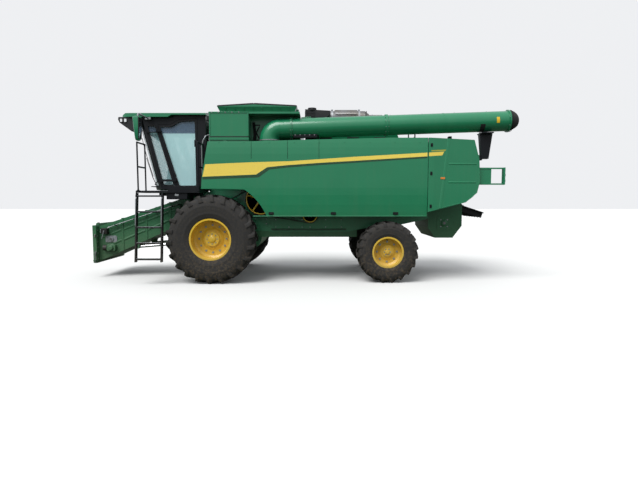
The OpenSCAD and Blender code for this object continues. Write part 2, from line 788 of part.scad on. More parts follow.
// Cab shell with its windows and the door opening cut
module cab_frame() {
    color(black_paint) difference() {
        intersection() {
            block(cab_corner_x - 600, cab_rear_x, -cab_half, cab_half, cab_floor_z, cab_top_z);
            screen_column(0);
        }
        intersection() {
            block(cab_corner_x - 600, cab_rear_x - cab_wall, -cab_half + cab_wall,
                cab_half - cab_wall, cab_floor_z + cab_wall, cab_top_z - 40);
            screen_column(cab_wall);
        }
        intersection() {
            block(cab_corner_x - 700, cab_corner_x + 900, -screen_half, screen_half, screen_low, screen_high);
            screen_column(-20);
            block(cab_corner_x - 700, -3000, -screen_half, screen_half, screen_low, screen_high);
        }
        side_plate(-cab_half - 10, -cab_half + cab_wall + 10, door_outline(0));
        side_plate(cab_half - cab_wall - 10, cab_half + 10, door_outline(door_window_edge));
        both_sides() side_plate(cab_half - cab_wall - 10, cab_half + 10, quarter_outline(0));
        block(cab_rear_x - cab_wall - 10, cab_rear_x + 10, -rear_window[0], rear_window[0],
            rear_window[1], rear_window[2]);
    }
    color(black_paint) block(door_x(cab_glass_top) + 360, cab_rear_x, -cab_half, cab_half,
        cab_top_z - 1, cab_top_z + 44);
    color(black_paint) for (z = hinge_heights) door_hinge_post(z);
}

hinge_axis = [door_front_x - 10, -cab_half - 26];
hinge_heights = [cab_floor_z + 190, cab_glass_top - 160];

// Fixed half of a door hinge: a bracket with an upright pin
module door_hinge_post(z) {
    x = corner_x(z) + 20;
    block(min(x, hinge_axis.x - 14), max(x + 40, hinge_axis.x + 14), hinge_axis.y - 14, -cab_half + 1,
        z - 40, z - 20);
    bar_z(hinge_axis.x, hinge_axis.y, z - 21, z + 30, 8);
}

// Fixed glass: windscreen, quarter windows, right side and rear
module cab_glass() {
    g = seat_gap;
    inner = cab_wall / 2;
    color(glass_tint) {
        difference() {
            intersection() {
                screen_column(inner - glass_t / 2);
                block(cab_corner_x - 700, -3000, -screen_half + g, screen_half - g, screen_low + g,
                    screen_high - g);
            }
            screen_column(inner + glass_t / 2);
        }
        both_sides() side_plate(cab_half - inner - glass_t / 2, cab_half - inner + glass_t / 2,
            quarter_outline(g));
        side_plate(cab_half - inner - glass_t / 2, cab_half - inner + glass_t / 2,
            door_outline(door_window_edge + g));
        block(cab_rear_x - inner - glass_t / 2, cab_rear_x - inner + glass_t / 2,
            -rear_window[0] + g, rear_window[0] - g, rear_window[1] + g, rear_window[2] - g);
    }
}

door_window_edge = run_gap + door_edge;

// Door frame with its hinge arms
module cab_door() {
    color(black_paint) {
        difference() {
            side_plate(-cab_half, -cab_half + cab_wall, door_outline(run_gap));
            side_plate(-cab_half - 10, -cab_half + cab_wall + 10, door_outline(door_window_edge));
        }
        for (z = hinge_heights) difference() {
            union() {
                block(hinge_axis.x, door_x(z) + 40, hinge_axis.y - 10, hinge_axis.y + 10, z - 18, z + 28);
                bar_z(hinge_axis.x, hinge_axis.y, z - 18, z + 28, 18);
                block(door_x(z) + 12, door_x(z) + 40, hinge_axis.y, -cab_half + 1, z - 18, z + 28);
            }
            bar_z(hinge_axis.x, hinge_axis.y, z - 60, z + 60, 8 + bore_gap);
        }
    }
}

// Door glass inside the door's frame
module door_glass() {
    inner = cab_wall / 2;
    color(glass_tint) side_plate(-cab_half + inner - glass_t / 2, -cab_half + inner + glass_t / 2,
        door_outline(door_window_edge + seat_gap));
}

// Roof cap: crowned across, with rounded front corners
module cab_roof() {
    edge_z = cab_top_z + roof_side_h;
    top_z = edge_z + roof_crown;
    crown_r = (roof_half * roof_half + roof_crown * roof_crown) / (2 * roof_crown);
    rear_x = cab_rear_x + 20;
    step_x = door_x(cab_glass_top) + 340;
    color(machine_green) intersection() {
        side_plate(-roof_half, roof_half, [
            [roof_front_x, cab_top_z + seat_gap], [step_x - 90, cab_top_z + seat_gap],
            [step_x, cab_top_z + 45], [rear_x, cab_top_z + 45], [rear_x, top_z - 40],
            [rear_x - 200, top_z], [roof_front_x + 420, top_z], [roof_front_x + 130, top_z - 115],
            [roof_front_x + 40, top_z - 150], [roof_front_x, top_z - 185]]);
        bar_x(0, top_z - crown_r, roof_front_x - 10, rear_x + 10, crown_r, $fn = 160);
        translate([0, 0, cab_top_z]) linear_extrude(400) polygon(concat(
            arc(roof_front_x + 260, -roof_half + 260, 260, 270, 180, 8),
            arc(roof_front_x + 260, roof_half - 260, 260, 180, 90, 8),
            [[rear_x, roof_half], [rear_x, -roof_half]]));
    }
}

// Black lamp housing under the roof's front edge, with a pod at each corner
module light_bar() {
    top = cab_top_z;
    x0 = roof_front_x - 30;
    color(black_paint) difference() {
        union() {
            side_plate(-roof_half + 40, roof_half - 40, [
                [cab_corner_x - 40, top], [x0 + 10, top], [x0, top - 50], [x0 + 30, top - 120],
                [cab_corner_x - 60, top - 120]]);
            both_sides() side_plate(roof_half - 240, roof_half - 40, [
                [x0 + 30, top - 119], [x0 + 280, top - 300], [x0 + 340, top - 270],
                [cab_corner_x - 60, top - 119]]);
        }
        screen_column(-run_gap);
    }
}

// Lamp lenses: on the light bar, on its corner pods, on the tank and at the rear
module lamps() {
    top = cab_top_z;
    x0 = roof_front_x - 30;
    color([0.9, 0.9, 0.85]) {
        for (y = [-560, -200, 200, 560])
            block(x0 - 14, x0 - seat_gap, y - 75, y + 75, top - 48, top - 4);
        both_sides() for (x = [x0 + 40, x0 + 130])
            block(x, x + 60, roof_half - 40 + seat_gap, roof_half - 26, top - 110, top - 30);
    }
    lamp_x = hood_rear_x + lamp_arm_l;
    color([0.8, 0.1, 0.08]) both_sides() for (z = [2150, 2270])
        bar_x(tail_lamp_y, z, lamp_x + seat_gap, lamp_x + 12, 45);
}

// Operator's seat
module seat() {
    x = cab_rear_x - 620;
    z = cab_floor_z + cab_wall + seat_gap;
    color(black_paint) {
        bar_z(x, 0, z, z + 280, 110);
        side_plate(-260, 260, [[x - 260, z + 279], [x + 230, z + 279], [x + 250, z + 330],
            [x + 330, z + 900], [x + 250, z + 915], [x + 160, z + 430], [x - 250, z + 420]]);
        side_plate(-130, 130, [[x + 258, z + 914], [x + 330, z + 899], [x + 350, z + 1060],
            [x + 290, z + 1070]]);
    }
}

// Steering column with its wheel, and the armrest console right of the seat
module controls() {
    x = cab_rear_x - 1130;
    z = cab_floor_z + cab_wall + seat_gap;
    color(black_paint) {
        difference() {
            side_plate(-70, 70, [[x - 60, z], [x + 60, z], [x + 120, z + 690], [x + 50, z + 700]]);
            block(x - 200, x + 300, -80, 80, z - 10, z);
        }
        translate([x + 90, 0, z + 720]) rotate([0, 20, 0]) difference() {
            cylinder(h = 30, r = 200);
            translate([0, 0, -5]) cylinder(h = 40, r = 172);
        }
        translate([x + 90, 0, z + 720]) rotate([0, 20, 0]) {
            block(-180, 180, -18, 18, 4, 26);
            translate([0, 0, -40]) cylinder(h = 66, r = 45);
        }
        block(cab_rear_x - 760, cab_rear_x - 330, 300, 430, z, z + 610);
        block(cab_rear_x - 900, cab_rear_x - 330, 290, 440, z + 609, z + 660);
    }
}

mirror_y = 1600;

// Wing mirrors on arms from the roof
module mirrors() {
    x = cab_corner_x + 120;
    both_sides() color(machine_green) {
        intersection() {
            cross_plate(x - 100, x + 100, [
                [mirror_y - 110, cab_top_z - 90], [mirror_y + 110, cab_top_z - 90],
                [mirror_y + 90, cab_top_z - 550], [mirror_y + 50, cab_top_z - 577],
                [mirror_y - 50, cab_top_z - 577], [mirror_y - 90, cab_top_z - 550]]);
            side_plate(mirror_y - 120, mirror_y + 120, [
                [x - 86, cab_top_z - 80], [x + 86, cab_top_z - 80], [x + 40, cab_top_z - 580],
                [x - 40, cab_top_z - 580]]);
        }
        rod([x, mirror_y, cab_top_z - 100], [x, mirror_y, cab_top_z - 20], 20);
        rod([x, mirror_y + 15, cab_top_z - 30], [x, cab_half + 45, cab_top_z - 30], 16);
        block(x - 60, x + 60, cab_half + 15, roof_half - 10, cab_top_z - 60, cab_top_z);
    }
}

// Walkway beside the cab with its handrails
module platform() {
    z = platform_z;
    top = z + handrail_h;
    y_out = -platform_y + rail_r + 4;
    y_in = -cab_half - 60;
    color(black_paint) {
        block(platform_x0, platform_x1, -platform_y, -cab_half - seat_gap, z - platform_t, z);
        block(platform_x0 + 300, platform_x1 - 100, -cab_half - 40, -body_half - seat_gap,
            z - platform_t - 60, z - platform_t + 1);
        for (x = [platform_x0 + rail_r + 4, platform_x1 - rail_r - 4]) {
            for (y = [y_in, y_out]) rod([x, y, z - 1], [x, y, top], rail_r - 1);
            for (h = [z + handrail_h * 0.5, top]) rod([x, y_out, h], [x, y_in, h], rail_r);
            for (y = [y_in, y_out]) translate([x, y, top]) sphere(rail_r + 0.5);
        }
        ladder_post();
    }
}

ladder_axis = [platform_x0 - 5, -platform_y - 14];
ladder_pin_r = 12;
ladder_top_z = platform_z - platform_t - run_gap;
ladder_eyes = [ladder_top_z - 80, ladder_top_z - 300];

// Post under the platform's front corner that carries the ladder
module ladder_post() {
    z = platform_z;
    bar_z(ladder_axis.x, ladder_axis.y, ladder_eyes[1] - 30, z - platform_t + 1, ladder_pin_r);
    block(ladder_axis.x - ladder_pin_r, platform_x0 + 60, ladder_axis.y - ladder_pin_r, -platform_y + 60,
        z - platform_t, z);
}

// Access ladder on an upright hinge at the platform's front corner
module ladder() {
    lean = 0.13;
    eye_h = 40;
    x0 = platform_x0 + 10;
    y_at = function (z) -platform_y - 12 - lean * (ladder_top_z - z);
    color(black_paint) {
        for (x = [x0, x0 + ladder_w + 30]) cross_plate(x, x + 30, [
            [y_at(ladder_top_z), ladder_top_z], [y_at(ladder_foot_z), ladder_foot_z],
            [y_at(ladder_foot_z) - 90, ladder_foot_z], [y_at(ladder_top_z) - 90, ladder_top_z]]);
        for (i = [0:ladder_steps - 1])
            let (z = ladder_foot_z + 40 + i * (ladder_top_z - ladder_foot_z - 120) / (ladder_steps - 1))
            block(x0 + 29, x0 + ladder_w + 31, y_at(z) - 110, y_at(z) - 10, z, z + 30);
        for (z = ladder_eyes) difference() {
            union() {
                bar_z(ladder_axis.x, ladder_axis.y, z, z + eye_h, ladder_pin_r + 12);
                block(ladder_axis.x, x0 + 1, y_at(z) - 20, ladder_axis.y, z, z + eye_h);
            }
            bar_z(ladder_axis.x, ladder_axis.y, z - 5, z + eye_h + 5, ladder_pin_r + bore_gap);
        }
    }
}

rim_z = tank_top_z + rim_h;
rim_x0 = tank_x0 + rim_front;
rim_x1 = tank_x1 - rim_rear;
rim_y = tank_half - rim_side_in;

// Side outline of the flared rim, shrunk by a wall
function rim_side(e) = [
    [rim_x0 + e, tank_top_z - e * 10], [rim_x1 - e, tank_top_z - e * 10], [rim_x1 - e, tank_top_z],
    [rim_x1 + rim_flare - e, rim_z + e * 0.2],
    [ridge_x, rim_z + ridge_rise + e * 0.2], [rim_x0 - rim_flare + e, rim_z + e * 0.2],
    [rim_x0 + e, tank_top_z]];
function rim_cross(e) = [
    [-rim_y + e, tank_top_z - e * 10], [rim_y - e, tank_top_z - e * 10], [rim_y - e, tank_top_z],
    [rim_y + rim_flare - e, rim_z], [rim_y + rim_flare - e, rim_z + 200],
    [-rim_y - rim_flare + e, rim_z + 200], [-rim_y - rim_flare + e, rim_z], [-rim_y + e, tank_top_z]];

// Solid of the flared rim, shrunk by a wall
module rim_solid(e) {
    intersection() {
        side_plate(-tank_half, tank_half, rim_side(e));
        cross_plate(tank_x0 - 100, tank_x1 + 100, rim_cross(e));
    }
}

ledge_z = shield_hinge_z + 30;

// Cross outline of the tank's box, shrunk by a wall
function tank_cross(e) = [
    [-body_half - 50 + e, body_top_z + e], [body_half + 50 - e, body_top_z + e],
    [tank_half - e, body_top_z + 400 + e * 0.4], [tank_half - e, tank_top_z - e * 0.8],
    [-tank_half + e, tank_top_z - e * 0.8], [-tank_half + e, body_top_z + 400 + e * 0.4]];

// Grain tank: hopper box, turret recess, ledges and flared rim
module grain_tank() {
    w = tank_wall;
    color(machine_green) difference() {
        union() {
            cross_plate(tank_x0, tank_x1, tank_cross(0));
            rim_solid(0);
            both_sides() block(tank_x0, recess_x0, tank_half - 1, tank_half + 20, ledge_z, ledge_z + 50);
        }
        difference() {
            cross_plate(tank_x0 + w, tank_x1 - w, tank_cross(w));
            block(recess_x0 - w, tank_x1, -tank_half - 10, -recess_y + w, recess_z - w, tank_top_z);
        }
        difference() {
            rim_solid(rim_wall);
            block(recess_x0 - w, tank_x1, -tank_half - 10, -recess_y + w, recess_z - w, tank_top_z);
        }
        block(recess_x0, tank_x1 + 10, -tank_half - 60, -recess_y, recess_z, tank_top_z - 40);
    }
    color(machine_green) {
        for (x = tank_hinges) shield_hinge_ears(x, tank_half);
        for (front = [true, false]) lid_hinge_ears(front);
    }
}

lid_pin_out = 14;
lid_hinge_y = [-900, 0, 900];

// Fixed half of the lid hinges: ears on the rim's outer face, with their pins
module lid_hinge_ears(front) {
    away = front ? -1 : 1;
    x = front ? rim_x0 - rim_flare : rim_x1 + rim_flare;
    pin = [x + away * lid_pin_out, rim_z + seat_gap + lid_t / 2];
    for (y = lid_hinge_y) {
        for (side = [-1, 1]) side_plate(y + side * 42 - 4, y + side * 42 + 4, concat(
            [[x - away * 31, rim_z - 60], [x - away * 4, rim_z - 6], [x, rim_z - 2]],
            front ? arc(pin.x, pin.y, 10, 20, 215, 8) : arc(pin.x, pin.y, 10, 160, -35, 8)));
        bar_y(pin.x, pin.y, y - 44, y + 44, 5);
    }
}

// Tank lid that hinges at the rim's front or rear edge and closes at the ridge
module tank_lid(front) {
    hinge_x = front ? rim_x0 - rim_flare : rim_x1 + rim_flare;
    edge_x = front ? ridge_x - run_gap / 2 : ridge_x + run_gap / 2;
    slope = ridge_rise / abs(ridge_x - hinge_x);
    edge_z = rim_z + slope * abs(edge_x - hinge_x);
    pin = [hinge_x + (front ? -lid_pin_out : lid_pin_out), rim_z + seat_gap + lid_t / 2];
    color(black_paint) {
        side_plate(-rim_y - rim_flare, rim_y + rim_flare, [
            [hinge_x, rim_z + seat_gap], [edge_x, edge_z + seat_gap], [edge_x, edge_z + seat_gap + lid_t],
            [hinge_x, rim_z + seat_gap + lid_t]]);
        for (y = lid_hinge_y) difference() {
            union() {
                bar_y(pin.x, pin.y, y - 34, y + 34, lid_t / 2);
                block(min(pin.x, hinge_x - 1), max(pin.x, hinge_x + 1), y - 34, y + 34, pin.y - 8, pin.y + 8);
            }
            bar_y(pin.x, pin.y, y - 40, y + 40, 5 + bore_gap);
        }
    }
}

module tank_lid_front() { tank_lid(true); }
module tank_lid_rear() { tank_lid(false); }

// Upright auger tube that fills the tank
module loading_auger() {
    x = recess_x0 + 300;
    y = 520;
    z0 = body_top_z + tank_wall + seat_gap;
    color(steel_grey) difference() {
        bar_z(x, y, z0, tank_top_z - 60, 150);
        bar_z(x, y, z0 + 700, tank_top_z - 50, 144);
        block(x - 200, x, y - 200, y + 200, tank_top_z - 400, tank_top_z);
    }
}

// Fixed foot of the unloading auger, in the tank's recess, with the collar that the tube turns on
module auger_turret() {
    color(machine_green) {
        difference() {
            union() {
                bar_z(turret_x, -turret_y, recess_z, swing_z - seat_gap, tube_r);
                bar_z(turret_x, -turret_y, swing_z - 31, swing_z - seat_gap, tube_r + ring_rise);
                bar_z(turret_x, -turret_y, recess_z, recess_z + 30, tube_r + ring_rise);
                bar_z(turret_x, -turret_y, swing_z - 2, elbow_z - 4, collar_r);
            }
            bar_z(turret_x, -turret_y, recess_z + 200, elbow_z, collar_r - tube_wall);
        }
    }
}

elbow_z = tube_z - bend_r;
bend_turn = 90 - tube_rise;
elbow_lap = 3;
ring_rise = 10;
collar_r = tube_r - tube_wall - bore_gap;

// Places its children at the start of the straight tube, local +Z along the tube
module tube_line() {
    translate([turret_x + bend_r - bend_r * sin(tube_rise), -turret_y,
        elbow_z + bend_r * cos(tube_rise)]) rotate([0, bend_turn, 0]) children();
}

tube_l = (tube_end_x - turret_x - bend_r) / cos(tube_rise);

// Swinging unloading tube: elbow, straight tube and its ring flanges
module unloading_auger() {
    bore_r = tube_r - tube_wall;
    color(machine_green) {
        elbow(tube_r + elbow_lap, bore_r - elbow_lap, bend_turn);
        difference() {
            bar_z(turret_x, -turret_y, swing_z, elbow_z + 2, tube_r + ring_rise);
            bar_z(turret_x, -turret_y, swing_z - 1, elbow_z + 3, bore_r);
        }
        tube_line() difference() {
            union() {
                translate([0, 0, -2]) cylinder(h = tube_l + 2, r = tube_r);
                tube_ring(230, 30, 22);
                tube_ring(tube_l * 0.46, 50, 20);
                tube_ring(tube_l - 30, 29, 25);
            }
            translate([0, 0, -3]) cylinder(h = tube_l + 4, r = bore_r);
        }
    }
}

// Flange ring on the tube, from a place, with a width and a height over the tube
module tube_ring(at, width, rise) {
    translate([0, 0, at]) cylinder(h = width, r = tube_r + rise);
}

// Quarter bend of the tube over the turret
module elbow(r_out, r_in, turn) {
    translate([turret_x + bend_r, -turret_y, elbow_z]) rotate([90, 0, 0]) rotate([0, 0, 180 - turn])
        rotate_extrude(angle = turn, $fn = 96) translate([bend_r, 0]) difference() {
            circle(r_out);
            circle(r_in);
        }
}

// Rubber dome over the tube's end, with the mouth on its underside
module auger_spout() {
    r_out = tube_r + 11;
    mouth_at = 105;
    color(tyre_black) tube_line() translate([0, 0, tube_l]) difference() {
        sphere(r_out);
        sphere(r_out - spout_wall);
        translate([-r_out - 10, -r_out - 10, -r_out - 10])
            cube([2 * r_out + 20, 2 * r_out + 20, r_out + 10]);
        translate([0, 0, mouth_at]) rotate([0, 90, 0]) cylinder(h = r_out + 10, r = spout_mouth);
    }
}

// Column with a saddle that holds the parked unloading tube
module auger_rest() {
    x = hood_rear_x + 20;
    z = tube_z + (x + 110 - turret_x - bend_r) * tan(tube_rise) - tube_r - run_gap - 2;
    y = -turret_y;
    color(black_paint) side_plate(y - 60, y + 60, [
        [x + 40, z - 560], [x + 190, z - 560], [x + 260, z - 40], [x - 10, z - 40]]);
    color(black_paint)
        block(rest_pad[0] + seat_gap, x + 60, y - 50, y + 50, rest_pad[1] + 10, rest_pad[2] - 10);
    color(steel_grey) {
        block(x, x + 240, y - 200, y + 150, z - 41, z - 20);
        block(x + 40, x + 200, y + 110, y + 150, z - 21, z + 12);
    }
}

hood_front_x = shield_x1 + panel_gap;
deck_half = tank_half - deck_inset;

// Deck and cover over the engine, on posts from the threshing body
module engine_deck() {
    color(machine_green) {
        block(tank_x1 + seat_gap, hood_front_x - seat_gap, -deck_half, deck_half, deck_z - deck_t, deck_z);
        both_sides() for (x = [tank_x1 + 40, hood_front_x - 240])
            block(x, x + 100, body_half - 130, body_half - 30, body_top_z, deck_z - deck_t + 1);
        for (x = deck_hinges) shield_hinge_ears(x, deck_half);
        side_plate(-recess_y + 175, 1000, [
            [tank_x1 + 100, deck_z - 1], [tank_x1 + 100, cover_z - 60], [tank_x1 + 260, cover_z],
            [hood_front_x - 540, cover_z], [hood_front_x - 440, deck_z - 1]]);
    }
}

// Engine as one plain block
module engine_block() {
    color(steel_grey) block(engine_x0, engine_x0 + engine_l, -engine_w / 2, engine_w / 2, body_top_z,
        deck_z - deck_t - 40);
}

exhaust_y = -recess_y + 345;

// Exhaust canister lying over the engine's cover, with its legs and tail pipe
module exhaust() {
    x0 = 520;
    x1 = 1560;
    nose = 90;
    color(silver_steel) {
        bar_x(exhaust_y, exhaust_z, x0 + nose, x1 - nose, exhaust_r);
        translate([x0, exhaust_y, exhaust_z]) rotate([0, 90, 0])
            cylinder(h = nose + 1, r1 = exhaust_r * 0.6, r2 = exhaust_r - 2);
        translate([x1, exhaust_y, exhaust_z]) rotate([0, -90, 0])
            cylinder(h = nose + 1, r1 = exhaust_r * 0.6, r2 = exhaust_r - 2);
        bar_x(exhaust_y, exhaust_z + 50, x1 - 20, x1 + 300, 28);
        for (x = [x0 + 200, x1 - 240])
            block(x, x + 40, exhaust_y - 110, exhaust_y + 110, cover_z + seat_gap,
                exhaust_z - exhaust_r * 0.6);
    }
}

// Air intake housing behind the tank
module air_cleaner() {
    x0 = tank_x1 + 100;
    z0 = deck_z + seat_gap;
    color(black_paint) side_plate(-recess_y, -recess_y + 160, [
        [x0, z0], [x0 + 240, z0], [x0 + 240, deck_z + 420], [x0 + 546, deck_z + 650],
        [x0 + 546, deck_z + 725], [x0, deck_z + 755]]);
}

screen_shaft_r = 25;
screen_y0 = cooling_y + 10;

// Radiator box on the right side, behind the rotary screen
module cooling_box() {
    r = screen_r;
    color(black_paint) difference() {
        block(screen_x - r - 70, screen_x + r + 70, body_half + seat_gap, cooling_y, screen_z - r - 40,
            deck_z - deck_t - seat_gap);
        bar_y(screen_x, screen_z, cooling_y - 20, screen_y0, r);
        bar_y(screen_x, screen_z, cooling_y - 90, screen_y0, screen_shaft_r + bore_gap);
    }
}

// Rotary dust screen drum
module rotary_screen() {
    y1 = screen_y0 + screen_w;
    color(steel_grey) {
        difference() {
            bar_y(screen_x, screen_z, screen_y0, y1, screen_r);
            bar_y(screen_x, screen_z, screen_y0 - 10, y1 - 20, screen_r - 20);
        }
        bar_y(screen_x, screen_z, screen_y0 - 1, y1 - 19, 70);
        bar_y(screen_x, screen_z, cooling_y - 80, screen_y0, screen_shaft_r);
    }
}

shield_y = tank_half + shield_out;
shield_inner = shield_y - shield_t;
tail_lamp_y = shield_y - hood_taper - 100;
shield_hinge_y = shield_inner - 14;
// Places of the shield hinges along the machine: the first on the tank, the others on the deck
tank_hinges = [-1500];
deck_hinges = [600, 2450];

// Fixed half of a shield hinge: two ears with a pin, on a wall at wall_y
module shield_hinge_ears(x, wall_y) {
    both_sides() {
        for (side = [-1, 1]) cross_plate(x + side * 28 - 4, x + side * 28 + 4, concat(
            [[wall_y - 2, shield_hinge_z - 12], [wall_y - 2, shield_hinge_z - 32]],
            arc(shield_hinge_y, shield_hinge_z, 9, -60, 100, 6)));
        bar_x(shield_hinge_y, shield_hinge_z, x - 30, x + 30, 5);
    }
}

// Moving half of a shield hinge: an eye on the panel's inner face
module shield_hinge_eye(x) {
    difference() {
        union() {
            bar_x(shield_hinge_y, shield_hinge_z, x - 22, x + 22, 10);
            block(x - 22, x + 22, shield_hinge_y - 4, shield_inner + 4, shield_hinge_z - 30,
                shield_hinge_z - 9);
        }
        bar_x(shield_hinge_y, shield_hinge_z, x - 30, x + 30, 5 + bore_gap);
    }
}

// Top edge of the shields at a place along the machine
function shield_top(x) =
    lookup(x, [[shield_x0, 2955], [-950, 2958], [50, 2987], [1950, 3033], [shield_x1, 3033]]);

// Side outline of a shield: its top edge, the rear edge and the arch over the front wheel
function shield_outline() = concat(
    [for (x = [shield_x0, -950, 50, 1950, shield_x1]) [x, shield_top(x)]],
    [[shield_x1, shield_low_z]],
    [[-560, shield_low_z]],
    arc(front_axle_x, front_tyre_r, front_tyre_r + 320, 22, 56, 8),
    [[shield_x0 + 250, 1980], [shield_x0 - shield_lean, 1980], [shield_x0 - shield_lean + 20, 2230]]);

// Outer face of a shield at a height: upright in the middle, drawn in at its top and bottom
function shield_face(z) =
    shield_y - 30 * pow(max(0, (z - 2560) / 425), 2) - 40 * pow(max(0, (2000 - z) / 600), 2);

shield_steps = [shield_low_z - 20, 1500, 1650, 1850, 2000, 2560, 2700, 2830, 2930, 3040];

// Curved side shield on the right side
module shield(left) {
    outline = concat([for (z = shield_steps) [shield_face(z), z]],
        [[shield_inner + 6, 3040], [shield_inner, 2900], [shield_inner, 2000],
         [shield_inner - 20, shield_low_z - 20]]);
    on_side(left) color(machine_green) difference() {
        intersection() {
            cross_plate(shield_x0 - shield_lean - 10, shield_x1, outline);
            side_plate(shield_inner - 60, shield_y + 10, shield_outline());
        }
        if (!left) bar_y(screen_x, screen_z, shield_inner - 30, shield_y + 30, screen_r + 30);
        shield_seams();
    }
    on_side(left) color(machine_green) for (x = concat(tank_hinges, deck_hinges)) shield_hinge_eye(x);
}

// Upright seams in the upper band
module shield_seams() {
    for (x = [-950, -200, 450])
        block(x - 5, x + 5, shield_y - 40, shield_y + 10, shield_hinge_z - 365, shield_hinge_z + 95);
}

module shield_left() { shield(true); }
module shield_right() { shield(false); }

// Pad for the auger rest on the hood's rear wall: its face, bottom and top
rest_pad = [hood_rear_x + 10, 2580, 2700];

// Side outline of the rear hood, shrunk by a wall
function hood_outline(e) = [
    [hood_front_x, 3030 - e], [hood_rear_x - 144 - e, 2995 - e], [hood_rear_x - 30 - e, 2600],
    [hood_rear_x - e, 2150], [hood_rear_x - 60 - e, 1900], [hood_rear_x - 300, 1700 - e * 20],
    [hood_front_x, 1500 - e * 20]];

// Solid of the rear hood, whose sides draw in behind a crease, shrunk by a wall
module hood_solid(e) {
    intersection() {
        side_plate(-shield_y - 1, shield_y + 1, hood_outline(e));
        translate([0, 0, 1400 - e * 21]) linear_extrude(1800 + e * 21) polygon([
            [hood_front_x - 1, -shield_y + e], [hood_bend_x, -shield_y + e],
            [hood_rear_x + 1, -shield_y + hood_taper + e], [hood_rear_x + 1, shield_y - hood_taper - e],
            [hood_bend_x, shield_y - e], [hood_front_x - 1, shield_y - e]]);
    }
}

ladder_pads = [2200, 2400];
rear_ladder_y = [780, 1140];
lamp_arm_l = 540;

// Rear hood: side panels, roof and rear wall around the straw's way out, open below
module rear_hood() {
    w = hood_wall;
    color(machine_green) {
        difference() {
            hood_solid(0);
            difference() {
                hood_solid(w);
                block(hood_front_x, hood_front_x + w, -shield_y, shield_y, body_top_z, 3100);
            }
        }
        both_sides() lamp_arm();
        for (y = rear_ladder_y) for (z = ladder_pads)
            block(hood_rear_x - 60, hood_rear_x + 12, y - 35, y + 35, z - 35, z + 35);
        block(hood_rear_x - 84, rest_pad[0], -turret_y - 60, -turret_y + 60, rest_pad[1], rest_pad[2]);
    }
}

// Arm that carries the rear lamps clear of the straw: a plate between two rails and an end post
module lamp_arm() {
    x = hood_rear_x;
    y = tail_lamp_y;
    side_plate(y - 8, y + 8, [[x - 60, 2085], [x + 260, 2085], [x + 260, 2415], [x - 60, 2415]]);
    for (z = [2070, 2400]) block(x - 60, x + lamp_arm_l, y - 16, y + 16, z, z + 30);
    block(x + lamp_arm_l - 34, x + lamp_arm_l, y - 58, y + 58, 2070, 2430);
}

// Side outline of the chopper housing
chopper_outline = [
    [body_rear_x + seat_gap, 2200], [body_rear_x + 250, 2200], [rotor_x + 400, rotor_z + 420],
    [rotor_x + 400, rotor_z - 60], [rotor_x + 200, rotor_z - 330], [rotor_x - 200, rotor_z - 330],
    [body_rear_x + seat_gap, rotor_z - 100]];

// Chopper housing behind the body: side plates, trough and front wall
module chopper_housing() {
    t = chopper_wall;
    color(machine_green) difference() {
        side_plate(-chopper_half, chopper_half, chopper_outline);
        union() {
            bar_y(rotor_x, rotor_z, -chopper_half + t, chopper_half - t, rotor_r + 30);
            side_plate(-chopper_half + t, chopper_half - t, [
                [body_rear_x + t, 2300], [rotor_x + 500, 2300], [rotor_x + 500, rotor_z - 40],
                [rotor_x + 150, rotor_z - 230], [rotor_x, rotor_z], [rotor_x - 270, rotor_z],
                [body_rear_x + t, rotor_z + 80]]);
        }
        bar_y(rotor_x, rotor_z, -chopper_half - 10, chopper_half + 10, rotor_shaft_r + bore_gap);
        bar_y(tail_x, tail_z, -chopper_half - 10, chopper_half + 10, 12 + bore_gap);
    }
}

tail_x = rotor_x + 370;
tail_z = rotor_z + 380;

// Chopper rotor with rows of knives
module chopper_rotor() {
    half = chopper_half - chopper_wall;
    color(steel_grey) {
        bar_y(rotor_x, rotor_z, -chopper_half - 40, chopper_half + 40, rotor_shaft_r);
        bar_y(rotor_x, rotor_z, -half + 10, half - 10, 90);
        for (row = [0:3]) translate([rotor_x, 0, rotor_z]) rotate([0, row * 90, 0])
            for (i = [0:8]) let (y = -half + 70 + i * (half * 2 - 140) / 8 + row * 12 - 18)
            block(80, rotor_r, y - 4, y + 4, -30, 30);
    }
}

// Tailboard with spreading vanes, hinged at the chopper housing's rear
module tailboard() {
    half = chopper_half - chopper_wall - run_gap;
    color(black_paint) {
        translate([tail_x, 0, tail_z]) rotate([0, 18, 0]) {
            block(0, tailboard_l, -half, half, 14, 26);
            for (i = [-3:3]) block(60, tailboard_l, i * 200 - 4, i * 200 + 4, -100, 15);
        }
        bar_y(tail_x, tail_z, -chopper_half, chopper_half, 12);
        translate([tail_x, 0, tail_z]) rotate([0, 18, 0]) block(-4, 40, -half, half, 4, 15);
    }
}

// Ladder on the hood's rear wall, beside the tailboard
module rear_ladder() {
    x = hood_rear_x + 120;
    foot_z = 1350;
    rungs = 6;
    color(black_paint) {
        for (y = rear_ladder_y) {
            rod([x, y, foot_z], [x, y, 2880], rail_r);
            for (z = ladder_pads) bar_x(y, z, hood_rear_x + 12 + seat_gap, x, rail_r - 3);
        }
        for (i = [0:rungs - 1])
            rod([x, rear_ladder_y[0], foot_z + 50 + i * 280], [x, rear_ladder_y[1], foot_z + 50 + i * 280],
                rail_r - 2);
    }
}

// Belt pulleys on the left side: place, height, radius, inner plane, outer plane
pulleys = [
    [-1560, 1560, 150, 0, 0], [-820, 1760, 330, 0, 2], [250, 1420, 170, 1, 1], [1150, 1800, 240, 2, 3],
    [2250, 1600, 150, 3, 3]];
// Belts: two pulleys and the plane they run in
belts = [[0, 1, 0], [1, 2, 1], [1, 3, 2], [3, 4, 3]];
belt_w = 60;
belt_pitch = 80;
belt_lap = 4;
belt_t = 14;

